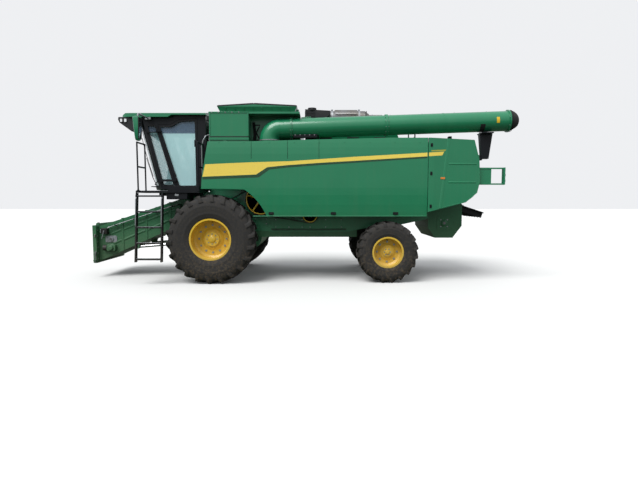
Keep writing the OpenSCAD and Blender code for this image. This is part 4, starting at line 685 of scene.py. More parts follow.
# Wheels: casing, lugs, bolts
wheels = {
    "front": {"axle": (-1.8, 0.93), "y": 1.35, "tip": 0.93, "width": 0.68, "rim": 0.415, "lugs": 22,
        "lugDepth": 0.045, "boltRing": 0.292, "bolts": 12, "hubRing": 0.105, "hubBolts": 8,
        "hubFace": 0.1, "disc": 0.018},
    "rear": {"axle": (1.9, 0.65), "y": 1.3, "tip": 0.65, "width": 0.46, "rim": 0.31, "lugs": 20,
        "lugDepth": 0.034, "boltRing": 0.215, "bolts": 8, "hubRing": 0.066, "hubBolts": 6,
        "hubFace": 0.09, "disc": 0.018},
}


def casingRadius(wheel, offset):  # outside of the casing between the lugs
    half = wheel["width"] / 2
    share = min(abs(offset) / half, 1.0)
    crown = wheel["tip"] - wheel["lugDepth"]
    return crown - 0.006 * share ** 2 - (crown - wheel["rim"]) * 0.2 * max(0.0, (share - 0.7) / 0.3) ** 2.2


def makeTyre(which, sideName, sign):
    wheel = wheels[which]
    x, z = wheel["axle"]
    y = sign * wheel["y"]
    half = wheel["width"] / 2
    body = which + "_wheel_" + sideName.lower()
    label = which + sideName
    shoulder = [(casingRadius(wheel, half * s), half * s) for s in (0, 0.15, 0.3, 0.45, 0.6, 0.72, 0.82, 0.9)]
    rise = wheel["tip"] - wheel["lugDepth"] - wheel["rim"]
    wall = [(wheel["rim"] + rise * r, half * s) for r, s in ((0.74, 0.955), (0.64, 0.98), (0.6, 0.995),
        (0.57, 0.985), (0.5, 0.995), (0.4, 0.985), (0.3, 0.965), (0.27, 0.975), (0.24, 0.96), (0.12, 0.915),
        (0.08, 0.9), (0.001, 0.83))]
    side = shoulder + wall
    profile = [(r, -a) for r, a in reversed(side)] + side[1:] + [(wheel["rim"] + 0.0004, 0.0)]
    profile.append(profile[0])
    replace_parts(Shape().turned(profile, (x, y, z), "y", 96).make(label + "Tyre", "tyre", body,
        smoothAngle=50), which + "_tyre_" + sideName.lower())

    def lug(direction, phase):
        steps = (0.02, 0.16, 0.34, 0.52, 0.7, 0.84, 0.93, 0.985)
        points = []
        for share in steps:
            offset = direction * half * share
            base = casingRadius(wheel, offset) - 0.01
            top = wheel["tip"] - 0.006 * share ** 2 - 0.0005
            if share > 0.9:
                top = casingRadius(wheel, offset) + wheel["lugDepth"] * (0.85 if share < 0.95 else 0.3)
            lean = -share * 0.3 * 0.68 / wheel["tip"] * (wheel["width"] / 0.68) + phase
            wide = (0.026 + 0.01 * share) * wheel["width"] / 0.68
            for radius, spread in ((base, wide * 1.35), (top, wide * 0.78), (top, -wide * 0.78),
                    (base, -wide * 1.35)):
                angle = lean + spread / radius
                points.append((radius * math.cos(angle), sign * offset, radius * math.sin(angle)))
        faces = []
        for i in range(len(steps) - 1):
            for k in range(4):
                a, b = i * 4 + k, i * 4 + (k + 1) % 4
                faces.append((a, b, b + 4, a + 4))
        faces += [(0, 1, 2, 3), tuple(len(points) - 4 + k for k in (3, 2, 1, 0))]
        return Shape().put(points, faces)
    pair = lug(1, 0.0).join(lug(-1, math.pi / wheel["lugs"]))
    repeated(label + "Lugs", "axle", "tyre", body, pair, Count=wheel["lugs"], Centre=(x, y, z))

    discFace = y + sign * wheel["disc"]
    hubFace = y + sign * wheel["hubFace"]
    repeated(label + "WheelBolts", "axle", "zinc", body, hexBolt((wheel["boltRing"], 0, 0), "y", sign, 0.017,
        0.02), Count=wheel["bolts"], Centre=(x, discFace, z))
    repeated(label + "HubBolts", "axle", "zinc", body, hexBolt((wheel["hubRing"], 0, 0), "y", sign, 0.01,
        0.01), Count=wheel["hubBolts"], Centre=(x, hubFace, z))
    cap = Shape().turned([(0.001, 0.03), (wheel["hubRing"] * 0.5, 0.028), (wheel["hubRing"] * 0.66, 0.018),
        (wheel["hubRing"] * 0.7, 0.0005)], (0, 0, 0), "y", 32)
    cap.points = [(px + x, sign * py + hubFace, pz + z) for px, py, pz in cap.points]
    cap.make(label + "HubCap", "yellow", body)
    stem = wheel["rim"] - 0.055
    Shape().tube([(x, discFace - sign * 0.002, z + stem), (x, discFace + sign * 0.03, z + stem),
        (x, discFace + sign * 0.055, z + stem - 0.012)], 0.006, 8).make(label + "Valve", "rubber", body)


for which in wheels:
    for sideName, sign in bothSides:
        makeTyre(which, sideName, sign)
print("wheels dressed")

# Yellow band and stripe on the shield and the hood, with the darker edge under them, a film of painted shadow
# below the band's ledge
stripe = {
    "lift": 0.0008,
    "yellow": [(-1.966, 2.23), (-1.905, 2.4845), (-0.949, 2.527), (-0.155, 2.548), (1.2, 2.64),
        (2.6945, 2.724), (2.6945, 2.648), (1.2, 2.557), (0.45, 2.514), (-0.2, 2.468), (-0.62, 2.426),
        (-0.855, 2.275)],
    "tail": [(2.7205, 2.7255), (3.04, 2.745), (3.0, 2.668), (2.7205, 2.65)],
    "thinTail": [(2.77, 2.772), (3.085, 2.79), (3.06, 2.756), (2.77, 2.748)],
    # outline of the dark film: painted shadow under the ledge below the yellow band
    "dark": [(-1.966, 2.2265), (-0.853, 2.2715), (-0.618, 2.4225), (-0.2, 2.4645), (0.45, 2.5105),
        (1.2, 2.5535), (2.6945, 2.6445), (2.6945, 2.612), (1.2, 2.515), (0.45, 2.468), (-0.2, 2.419),
        (-0.58, 2.376), (-0.8, 2.215), (-1.966, 2.172)],
}


shieldSpec = {
    "face": 1.5, "topBend": (0.03, 2.56, 0.425), "lowBend": (0.04, 2.0, 0.6),
    "opening": (0.9, 2.4, 0.505), "latchX": (-0.55, 0.75, 2.05), "latchZ": 1.47,
}
hood = {
    "face": 1.5, "bendX": 2.83, "taper": 0.11, "crease": (3.12, 3.012, 2.96, 1.58),
    "latches": (1.62, 2.3, 2.88), "latchX": 2.775, "reflector": (3.02, 2.2),
}


def shieldFace(x, z):  # outer face of a shield at a height
    inAtTop, topStart, topSpan = shieldSpec["topBend"]
    inAtFoot, footStart, footSpan = shieldSpec["lowBend"]
    return (shieldSpec["face"] - inAtTop * max(0.0, (z - topStart) / topSpan) ** 2
        - inAtFoot * max(0.0, (footStart - z) / footSpan) ** 2)


def hoodFace(x, z):  # outer face of the rear hood, drawn in towards the back
    return hood["face"] - max(0.0, x - hood["bendX"]) * hood["taper"]


def cutRound(form, centre, radius, steps=32):  # takes a round opening out of a flat form
    directions = [Vector((math.cos(2 * math.pi * k / steps), 0, math.sin(2 * math.pi * k / steps)))
        for k in range(steps)]
    for direction in directions:
        cutAlong(form, centre + direction * radius, direction)
    inside = [face for face in form.faces if all((face.calc_center_median() - centre).dot(direction) < radius
        for direction in directions)]
    bmesh.ops.delete(form, geom=inside, context="FACES")


def film(name, outline, finishName, body, sign, face=shieldFace):  # a thin film that follows the sheet, for the decals and for the painted shadow under the band
    mesh = bpy.data.meshes.new(name)
    form = bmesh.new()
    corners = [form.verts.new((x, 0, z)) for x, z in outline]
    form.faces.new(corners)
    for k in range(1, 12):
        cutAlong(form, (0, 0, 2.2 + k * 0.05), (0, 0, 1))
    cutAlong(form, (hood["bendX"], 0, 0), (1, 0, 0))
    if sign > 0:
        openingX, openingZ, radius = shieldSpec["opening"]
        cutRound(form, Vector((openingX, 0, openingZ)), radius)
    bmesh.ops.triangulate(form, faces=form.faces[:])
    front = form.faces[:]
    made = bmesh.ops.extrude_face_region(form, geom=front)
    outer = [item for item in made["geom"] if isinstance(item, bmesh.types.BMVert)]
    for vert in form.verts:
        vert.co.y = sign * (face(vert.co.x, vert.co.z) + 0.0001)
    for vert in outer:
        vert.co.y = sign * (face(vert.co.x, vert.co.z) + stripe["lift"])
    bmesh.ops.recalc_face_normals(form, faces=form.faces[:])
    form.to_mesh(mesh)
    form.free()
    return dress(linked(name, mesh), finishName, body)


for sideName, sign in bothSides:
    shieldBody = "shield_" + sideName.lower()
    film("yellowBand" + sideName, stripe["yellow"], "decal", shieldBody, sign)
    # the dark film under the band is painted shadow
    film("darkBand" + sideName, stripe["dark"], "bandShadow", shieldBody, sign)
    film("yellowTail" + sideName, stripe["tail"], "decal", "chassis", sign, hoodFace)
    film("thinTail" + sideName, stripe["thinTail"], "thinDecal", "chassis", sign, hoodFace)
print("bands laid on")

# Cab outside: window seals, handles, wiper and mirrors
cab = {
    "half": 0.95, "glassTop": 3.4, "floor": 1.98, "cornerX": -3.35, "lean": 0.25, "bulge": 0.34,
    "doorX": -3.05, "doorLean": 0.287, "doorRear": -2.185, "rear": -2.005, "windowEdge": 0.046,
    "sealRadius": 0.009, "handle": (-2.226, 2.92, 3.03), "mirrorY": 1.6, "mirrorX": -3.23,
    "mirrorTop": 3.44, "mirrorLow": 2.953,
}


def doorX(z):
    return cab["doorX"] + cab["doorLean"] * (cab["glassTop"] - 0.02 - z)


def cornerX(z):
    return cab["cornerX"] + cab["lean"] * (cab["glassTop"] - z)


def doorWindow(edge):
    low, top = cab["floor"] + 0.03, cab["glassTop"] - 0.02
    return [(doorX(low) + edge, low + edge), (cab["doorRear"] - edge, low + edge),
        (cab["doorRear"] - edge, top + 0.13 - edge), (cab["doorRear"] - 0.385, top + 0.11 - edge),
        (doorX(top) + 0.3, top - edge), (doorX(top) + edge, top - edge)]


def quarterWindow(edge):
    low, top = cab["floor"] + 0.09, cab["glassTop"] - 0.04
    return [(cornerX(low) + 0.062 + edge, low + edge), (doorX(low) - 0.048 - edge, low + edge),
        (doorX(top) - 0.048 - edge, top - edge), (cornerX(top) + 0.062 + edge, top - edge)]


# a place on the windscreen, from its top edge down when along is negative
def screenPoint(y, along, lift=0.0):
    radius = (cab["half"] ** 2 + cab["bulge"] ** 2) / (2 * cab["bulge"])
    tilt = math.atan(cab["lean"])
    turn = math.asin(y / radius)
    back = radius - (radius + lift) * math.cos(turn)
    x = cab["cornerX"] - cab["bulge"] / math.cos(tilt) + back * math.cos(tilt) - along * math.sin(tilt)
    return (x, y * (radius + lift) / radius, cab["glassTop"] + back * math.sin(tilt) + along * math.cos(tilt))


def roundedLoop(corners, radius, steps=5):  # an outline with its corners rounded off
    loop = []
    for i, corner in enumerate(corners):
        here = Vector(corner)
        before = (Vector(corners[i - 1]) - here).normalized()
        after = (Vector(corners[(i + 1) % len(corners)]) - here).normalized()
        for k in range(steps + 1):
            share = k / steps
            loop.append(tuple(here + before * radius * (1 - share) ** 2 + after * radius * share ** 2))
    return loop


def seal(outline, y):
    return Shape().tube([(x, y, z) for x, z in roundedLoop(outline, 0.045)], cab["sealRadius"], 6, True)


seal(doorWindow(cab["windowEdge"]), -cab["half"] - 0.001).make("doorSeal", "rubber", "cab_door")
for sideName, sign in bothSides:
    seal(quarterWindow(0.004), sign * (cab["half"] + 0.001)).make("quarterSeal" + sideName, "rubber")
seal(doorWindow(cab["windowEdge"]), cab["half"] + 0.001).make("sideSeal", "rubber")
Shape().tube([(cab["rear"] + 0.001, y, z) for y, z in roundedLoop(rectangle(-0.72, 0.72, 2.6, 3.38), 0.05)],
    cab["sealRadius"], 6, True).make("rearSeal", "rubber")
screenEdge = [(y, -1.35) for y in (-0.862, -0.4, 0.0, 0.4, 0.862)]
screenEdge += [(y, -0.03) for y in (0.862, 0.4, 0.0, -0.4, -0.862)]
Shape().tube([screenPoint(y, along, 0.002) for y, along in roundedLoop(screenEdge, 0.04, 3)], 0.01, 6,
    True).make("screenSeal", "rubber")

wiper = Shape().tube([screenPoint(0.05, -1.4, 0.012), screenPoint(0.05, -1.4, 0.05)], 0.018, 12)
wiper.tube([screenPoint(0.05, -1.4, 0.045), screenPoint(-0.12, -1.15, 0.05), screenPoint(-0.4, -0.72, 0.03)],
    [0.011, 0.009, 0.006], 8)
wiper.tube([screenPoint(-0.4 + 0.16 * s, -0.72 - 0.38 * s, 0.012) for s in (-1.1, -0.7, -0.3, 0, 0.3, 0.7,
    1.1)], 0.007, 6)
wiper.make("wiper", "plastic")

handleX, handleLow, handleTop = cab["handle"]
handle = Shape().plate(roundedLoop(rectangle(handleX - 0.032, handleX + 0.022, handleLow - 0.02,
    handleTop + 0.02), 0.014, 3), -0.9625, -0.9505)
handle.tube([(handleX - 0.012, -0.955, handleLow), (handleX - 0.014, -0.998, handleLow + 0.012),
    (handleX - 0.014, -1.0, handleTop - 0.012), (handleX - 0.012, -0.955, handleTop)], 0.009, 8)
handle.disc((handleX - 0.012, -0.962, handleLow - 0.004),
    (handleX - 0.012, -0.972, handleLow - 0.004), 0.01, 12)
handle.make("doorHandle", "plastic", "cab_door", 0.002)
doorRail = Shape().tube([(-2.62, 0.0, 2.36), (-2.6, 0.045, 2.38), (-2.42, 0.05, 2.52), (-2.3, 0.045, 2.62),
    (-2.285, 0.0, 2.64)], 0.012, 8)
doorRail.points = [(x, -0.885 + y * 0.9, z) for x, y, z in doorRail.points]
doorRail.make("doorPullRail", "plastic", "cab_door")
entryRail = Shape().tube([(-1.975, -1.08, 3.12), (-1.985, -1.1, 3.1), (-2.03, -1.105, 3.02),
    (-2.065, -1.1, 2.9), (-2.075, -1.05, 2.45), (-2.075, -1.012, 2.1), (-2.075, -1.0, 1.945)], 0.013, 10)
entryRail.tube([(-1.975, -1.08, 3.12), (-1.86, -1.2, 3.13), (-1.8315, -1.22, 3.13)], 0.013, 10)
entryRail.make("entryGrabRail", "zinc")
print("cab trim made")


def mirrorShell(sign):
    y, x = sign * cab["mirrorY"], cab["mirrorX"]
    top, low = cab["mirrorTop"], cab["mirrorLow"]
    rings = []
    for share, wide, deep in ((0.0, 0.03, 0.03), (0.02, 0.055, 0.042), (0.1, 0.08, 0.05),
            (0.5, 0.096, 0.066), (0.9, 0.106, 0.082), (0.98, 0.098, 0.076), (1.0, 0.07, 0.05)):
        z = low + (top - low) * share
        ring = []
        for k in range(20):
            angle = 2 * math.pi * k / 20
            u = max(-1.0, min(1.0, 1.25 * math.cos(angle)))
            v = max(-1.0, min(1.0, 1.25 * math.sin(angle)))
            ring.append((x + u * deep * (1.0 if u < 0 else 0.62), y + v * wide, z))
        rings.append(ring)
    shell = Shape()
    points = [point for ring in rings for point in ring]
    faces = [(i * 20 + k, i * 20 + (k + 1) % 20, (i + 1) * 20 + (k + 1) % 20, (i + 1) * 20 + k)
        for i in range(len(rings) - 1) for k in range(20)]
    faces += [tuple(range(19, -1, -1)), tuple(len(points) - 20 + k for k in range(20))]
    return shell.put(points, faces)


def mirrorFace(sign, low, top, inset, depth):
    y, x = sign * cab["mirrorY"], cab["mirrorX"]
    def face(z):
        return x + 0.62 * (0.05 + (z - cab["mirrorLow"]) * 0.066) + depth
    def halfWidth(z):
        return 0.076 + (z - cab["mirrorLow"]) * 0.055 - inset
    corners = roundedLoop([(-halfWidth(low), low), (halfWidth(low), low), (halfWidth(top), top),
        (-halfWidth(top), top)], 0.02, 4)
    back = [(face(z) - 0.012, y + u, z) for u, z in corners]
    front = [(face(z), y + u, z) for u, z in corners]
    count = len(corners)
    faces = [(i, (i + 1) % count, count + (i + 1) % count, count + i) for i in range(count)]
    faces += [tuple(range(count)), tuple(range(2 * count - 1, count - 1, -1))]
    return Shape().put(back + front, faces)


shells, backs, glasses, arms = Shape(), Shape(), Shape(), Shape()
for sign in (-1, 1):
    shells.join(mirrorShell(sign))
    backs.join(mirrorFace(sign, 2.985, 3.415, -0.004, 0.004))
    glasses.join(mirrorFace(sign, 3.115, 3.405, 0.008, 0.007))
    glasses.join(mirrorFace(sign, 2.995, 3.1, 0.008, 0.007))
    y, x = sign * cab["mirrorY"], cab["mirrorX"]
    arms.tube([(x, y, 3.4), (x, y, 3.475), (x, y - sign * 0.02, 3.5), (x, y - sign * 0.1, 3.502),
        (x, sign * 1.2, 3.502), (x, sign * 1.01, 3.502)], 0.017, 12)
    arms.tube([(x, y, 3.425), (x, y, 3.448)], 0.03, 16)
    arms.tube([(x, y - sign * 0.13, 3.502), (x, y - sign * 0.19, 3.502)], 0.024, 16)
    arms.box(x - 0.06, x + 0.06, sign * 0.965, sign * 1.03, 3.472, 3.529)
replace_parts(shells.make("mirrorShells", "green", smoothAngle=45), "mirrors")
backs.make("mirrorBezels", "plastic")
glasses.make("mirrorGlasses", "mirror")
arms.make("mirrorArms", "zinc", bevel=0.003)

# Lamps
lampSet = {
    "barX": -3.88, "barY": (-0.56, -0.2, 0.2, 0.56), "barZ": (3.482, 3.526), "podX": (-3.84, -3.75),
    "podZ": (3.42, 3.5), "rearX": 4.3703, "rearY": 1.29, "rearZ": (2.15, 2.27), "workSize": 0.045,
}


def rimmedLamp(outline, face, depth, axis):  # a lens that stands in a raised rim
    lens, rim = Shape(), Shape()
    middle = [sum(p[i] for p in outline) / len(outline) for i in range(2)]
    inner = [tuple(middle[i] + (p[i] - middle[i]) * 0.84 for i in range(2)) for p in outline]
    lens.plate(roundedLoop(inner, 0.008, 3), face, face + depth * 0.8, axis)
    loop, hole = roundedLoop(outline, 0.012, 3), roundedLoop(inner, 0.008, 3)
    count = len(loop)
    def place(point, along):
        return (along, point[0], point[1]) if axis == "x" else (point[0], along, point[1])
    rings = [[place(p, face) for p in loop], [place(p, face + depth) for p in loop],
        [place(p, face + depth) for p in hole], [place(p, face) for p in hole]]
    faces = []
    for i in range(4):
        for k in range(count):
            a, b = i * count + k, i * count + (k + 1) % count
            faces.append((a, b, ((i + 1) % 4) * count + (k + 1) % count, ((i + 1) % 4) * count + k))
    rim.put([point for ring in rings for point in ring], faces)
    return lens, rim


lenses, lampRims = Shape(), Shape()
for y in lampSet["barY"]:
    low, high = lampSet["barZ"]
    lens, rim = rimmedLamp(rectangle(y - 0.075, y + 0.075, low, high), lampSet["barX"], -0.014, "x")
    lenses.join(lens)
    lampRims.join(rim)
for sign in (-1, 1):
    for x in lampSet["podX"]:
        low, high = lampSet["podZ"]
        lens, rim = rimmedLamp(rectangle(x, x + 0.06, low, high), sign * 1.0003, sign * 0.016, "y")
        lenses.join(lens)
        lampRims.join(rim)
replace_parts(lenses.make("lampLenses", "lamp"), "lamps")
lampRims.make("lampRims", "plastic")
rearLenses, rearRims = Shape(), Shape()
for sign in (-1, 1):
    for z in lampSet["rearZ"]:
        centre = (lampSet["rearX"], sign * lampSet["rearY"], z)
        rearLenses.turned([(0.001, 0.0115), (0.02, 0.011), (0.034, 0.008), (0.039, 0.001)], centre, "x", 24)
        rearRims.turned([(0.04, 0.0), (0.045, 0.0), (0.0455, 0.01), (0.04, 0.0115), (0.04, 0.0)],
            centre, "x", 24)
rearLenses.make("rearLenses", "redLamp")
rearRims.make("rearLampRims", "plastic")


def workLamp(name, place, aim):  # box lamp on a bracket, aimed along X by its sign
    x, y, z = place
    size = lampSet["workSize"]
    case = Shape().box(x - size * 0.7, x + size * 0.7, y - size * 1.2, y + size * 1.2, z - size, z + size)
    case.tube([(x, y, z - size), (x, y, z - size * 1.7)], 0.008, 8)
    for k in range(5):
        fin = y - size + k * size * 0.5
        case.box(x - aim * size * 0.7 - 0.006, x - aim * size * 0.7 + 0.006, fin - 0.002, fin + 0.002,
            z - size * 0.8, z + size * 0.8)
    case.make(name + "Case", "plastic", bevel=0.006)
    face = x + aim * size * 0.7
    Shape().plate(roundedLoop(rectangle(y - size, y + size, z - size * 0.8, z + size * 0.8), 0.01, 3), face,
        face + aim * 0.005, "x").make(name + "Lens", "lamp")


for sideName, sign in bothSides:
    workLamp("tankLamp" + sideName, (-1.875, sign * 1.27, 3.455), -1)
    Shape().box(-1.89, -1.8305, sign * 1.27 - 0.03, sign * 1.27 + 0.03, 3.372,
        3.378).make("tankLampBracket" + sideName, "zinc", bevel=0.001)
    workLamp("rearLamp" + sideName, (3.3, sign * 0.9, 3.082), 1)
print("lamps made")

# Cab inside: seat, wheel, displays and lining
seatSpec = {
    "x": -2.625, "floor": 2.0403, "edge": 0.33, "voxel": 0.007, "pressure": 4.0, "stiffness": 12.0,
    "frames": 20, "cap": 0.012, "seamDepth": 0.008, "seamWidth": 0.01,
}


def cushion(name, centre, size, lean=0.0, seams=()):  # crowned pad, swollen by a short cloth run
    spread, deep, tall = size
    shape = Shape().box(-deep / 2, deep / 2, -spread / 2, spread / 2, -tall / 2, tall / 2)
    pad = shape.object(name)
    form = bmesh.new()
    form.from_mesh(pad.data)
    bmesh.ops.bevel(form, geom=form.edges[:], offset=min(size) * seatSpec["edge"], segments=4, profile=0.6,
        affect="EDGES")
    turn = Matrix.Translation(Vector(centre)) @ Matrix.Rotation(math.radians(lean), 4, "Y")
    bmesh.ops.transform(form, matrix=turn, verts=form.verts[:])
    form.to_mesh(pad.data)
    form.free()
    mesher = pad.modifiers.new("voxels", "REMESH")
    mesher.mode = "VOXEL"
    mesher.voxel_size = seatSpec["voxel"]
    bpy.context.view_layer.update()
    mesh = bpy.data.meshes.new_from_object(evaluated(pad))
    pad.modifiers.clear()
    pad.data = mesh
    before = [vert.co.copy() for vert in mesh.vertices]
    swell = pad.modifiers.new("swell", "CLOTH")
    swell.settings.use_pressure = True
    swell.settings.uniform_pressure_force = seatSpec["pressure"]
    swell.settings.effector_weights.gravity = 0.0
    swell.settings.tension_stiffness = swell.settings.compression_stiffness = seatSpec["stiffness"]
    swell.point_cache.frame_start = 1
    swell.point_cache.frame_end = seatSpec["frames"]
    for step in range(1, seatSpec["frames"] + 1):
        scene.frame_set(step)
    swollen = evaluated(pad).to_mesh()
    after = [vert.co.copy() for vert in swollen.vertices]
    pad.modifiers.clear()
    scene.frame_set(1)
    for vert, old, new in zip(mesh.vertices, before, after):
        move = new - old
        vert.co = old + move * min(1.0, seatSpec["cap"] / max(move.length, 1e-6))
    back = turn.inverted()
    for vert in mesh.vertices:  # sewn channels, pressed in after the swelling
        local = back @ vert.co
        press = sum(math.exp(-((local[axis] - at) / seatSpec["seamWidth"]) ** 2) for axis, at in seams)
        vert.co -= vert.normal * press * seatSpec["seamDepth"]
    pad.data.materials.append(finishes["seat"])
    for poly in pad.data.polygons:
        poly.use_smooth = True
    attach(pad, "chassis")


sx, sz = seatSpec["x"], seatSpec["floor"]
base = Shape().turned([(0.108, 0.0), (0.108, 0.03), (0.095, 0.05), (0.104, 0.075), (0.09, 0.1),
    (0.104, 0.125), (0.09, 0.15), (0.104, 0.175), (0.09, 0.2), (0.1, 0.225), (0.105, 0.279)],
    (sx, 0, sz), "z", 40)
base.plate([(sx - 0.25, sz + 0.28), (sx + 0.23, sz + 0.28), (sx + 0.25, sz + 0.325), (sx + 0.325, sz + 0.88),
    (sx + 0.3, sz + 0.885), (sx + 0.215, sz + 0.36), (sx - 0.25, sz + 0.325)], -0.235, 0.235)
for sign in (-1, 1):
    base.tube([(sx + 0.245, sign * 0.25, sz + 0.52), (sx + 0.16, sign * 0.25, sz + 0.555),
        (sx - 0.12, sign * 0.25, sz + 0.55), (sx - 0.16, sign * 0.25, sz + 0.545)],
        [0.02, 0.024, 0.024, 0.018], 12)
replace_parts(base.make("seatFrame", "softPlastic", bevel=0.004), "seat")
cushion("seatCushion", (sx - 0.01, 0, sz + 0.378), (0.47, 0.44, 0.085), -2.0, ((1, -0.13), (1, 0.13)))
cushion("seatBack", (sx + 0.215, 0, sz + 0.645), (0.44, 0.085, 0.44), 8.0, ((2, -0.06), (2, 0.1)))
cushion("headRest", (sx + 0.295, 0, sz + 0.985), (0.24, 0.065, 0.14), 6.0)

wheelX, wheelZ = cab["rear"] - 1.04, sz + 0.72
steering = Shape()
tiltBack = Matrix.Translation((wheelX, 0, wheelZ)) @ Matrix.Rotation(math.radians(20), 4, "Y")
steering.tube(placed(tiltBack, circlePath((0, 0, 0.02), 0.186, "z", 40)), 0.0125, 10, True)
for angle in (90, 210, 330):
    spoke = [onCircle((0, 0, 0.012), reach, angle, "z") for reach in (0.04, 0.1, 0.18)]
    steering.tube(placed(tiltBack, spoke), [0.016, 0.011, 0.01], 8)
steering.tube(placed(tiltBack, ((0, 0, -0.035), (0, 0, 0.024), (0, 0, 0.026))), [0.046, 0.044, 0.03], 20)
steering.tube(placed(tiltBack, ((0.13, 0.12, 0.02), (0.13, 0.12, 0.065))), [0.01, 0.018], 12)
column = Shape().plate([(wheelX - 0.15, sz), (wheelX - 0.03, sz), (wheelX + 0.03, sz + 0.69),
    (wheelX - 0.04, sz + 0.7)], -0.062, 0.062)
column.plate([(wheelX - 0.17, sz), (wheelX - 0.01, sz), (wheelX - 0.01, sz + 0.05),
    (wheelX - 0.15, sz + 0.09)], -0.069, 0.069)
for y in (-0.15, 0.15):
    column.plate([(wheelX - 0.22, sz + 0.1), (wheelX - 0.05, sz + 0.04), (wheelX - 0.045, sz + 0.055),
        (wheelX - 0.215, sz + 0.115)], y - 0.035, y + 0.035)
    column.tube([(wheelX - 0.13, y, sz + 0.07), (wheelX - 0.11, y * 0.4, sz + 0.03)], 0.01, 8)
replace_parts(steering.make("steeringWheel", "plastic"), "controls")
column.make("steeringColumn", "softPlastic", bevel=0.008)
console = Shape().plate(roundedLoop([(-2.76, sz), (-2.34, sz), (-2.34, sz + 0.6), (-2.66, sz + 0.61)], 0.04),
    0.305, 0.425)
console.plate(roundedLoop([(-2.9, sz + 0.6), (-2.34, sz + 0.6), (-2.34, sz + 0.655), (-2.9, sz + 0.645)],
    0.02), 0.292, 0.438)
console.make("armrestConsole", "softPlastic", bevel=0.01)
lever = Shape().tube([(-2.8, 0.36, sz + 0.64), (-2.8, 0.36, sz + 0.7), (-2.815, 0.36, sz + 0.745)],
    [0.012, 0.014, 0.024], 14)
lever.tube([(-2.815, 0.36, sz + 0.74), (-2.83, 0.36, sz + 0.79), (-2.835, 0.355, sz + 0.815)],
    [0.026, 0.03, 0.018], 14)
for k in range(6):
    lever.disc((-2.7 + (k % 3) * 0.045, 0.335 + (k // 3) * 0.05, sz + 0.645),
        (-2.7 + (k % 3) * 0.045, 0.335 + (k // 3) * 0.05, sz + 0.659), 0.013, 12)
lever.make("driveLever", "plastic")


def display(name, place, wide, tall, faceTurn):  # screen in a case, on an arm
    turn = Matrix.Translation(Vector(place)) @ Matrix.Rotation(math.radians(faceTurn), 4, "Z")
    outline = roundedLoop(rectangle(-wide / 2, wide / 2, -tall / 2, tall / 2), 0.018, 4)
    case = Shape().plate(outline, -0.018, 0.018)
    case.points = placed(turn, case.points)
    case.make(name + "Case", "plastic", bevel=0.004)
    screen = Shape().plate([(x * 0.88, z * 0.86) for x, z in outline], -0.0195, -0.0175)
    screen.points = placed(turn, screen.points)
    screen.make(name + "Screen", "screen")


display("postDisplay", (-3.27, 0.66, 3.12), 0.27, 0.2, 60)
display("upperDisplay", (-3.33, 0.7, 3.32), 0.22, 0.16, 60)
display("sideDisplay", (-3.02, 0.8, 3.2), 0.2, 0.13, 20)
displayArm = Shape().tube([(-3.3, 0.72, 2.05), (-3.3, 0.73, 2.4), (-3.32, 0.72, 3.0), (-3.34, 0.73, 3.44),
    (-3.34, 0.73, 3.488)], 0.016, 10)
displayArm.tube([(-3.32, 0.72, 3.2), (-3.18, 0.8, 3.2), (-3.04, 0.815, 3.2)], 0.01, 8)
displayArm.make("displayArms", "plastic")
lining = Shape().plate(rectangle(-3.3, -2.08, 3.448, 3.489), -0.86, 0.86)
lining.box(-2.9, -2.2, 0.4, 0.86, 3.36, 3.449)
for k in range(4):
    lining.disc((-2.8 + k * 0.17, 0.52, 3.361), (-2.8 + k * 0.17, 0.52, 3.35), 0.035, 18)
lining.make("headLining", "softPlastic", bevel=0.012)
mat = Shape().plate(roundedLoop(rectangle(-3.3, -2.1, -0.8, 0.8), 0.08), sz - 0.0001, sz + 0.012, "z")
for k in range(24):
    mat.box(-3.28 + k * 0.05, -3.262 + k * 0.05, -0.75, -0.3, sz + 0.011, sz + 0.016)
mat.make("cabMat", "rubber")
panel = Shape().plate([(-2.1, sz + 0.012), (-2.069, sz + 0.012), (-2.069, sz + 0.56), (-2.1, sz + 0.5)],
    -0.88, 0.88)
panel.box(-2.3, -2.069, -0.86, -0.45, sz + 0.012, sz + 0.42)
panel.make("rearLining", "softPlastic", bevel=0.01)
cushion("secondSeat", (-2.2, -0.64, sz + 0.455), (0.36, 0.22, 0.06), 0.0)
print("cab inside made")

# Grain tank: seams, strips, bolts and the recess beside the turret
tank = {
    "x0": -1.83, "x1": 0.05, "half": 1.4, "top": 3.573, "recessX": -1.01, "rimX": (-1.61, -0.06),
    "rimY": 1.34, "flare": 0.05, "rimZ": 3.677, "ridgeX": -0.905, "ridgeZ": 3.721, "stripLow": 3.071,
    "stripTop": 3.548, "sealLow": 3.0455, "boltPitch": 0.14, "rightRibs": 4,
}


def boltRow(name, start, step, count, axis="y", sign=1, size=0.009):
    repeated(name, "row", "zinc", "chassis", hexBolt((0, 0, 0), axis, sign, size, size * 0.7), Count=count,
        Start=start, Step=step)


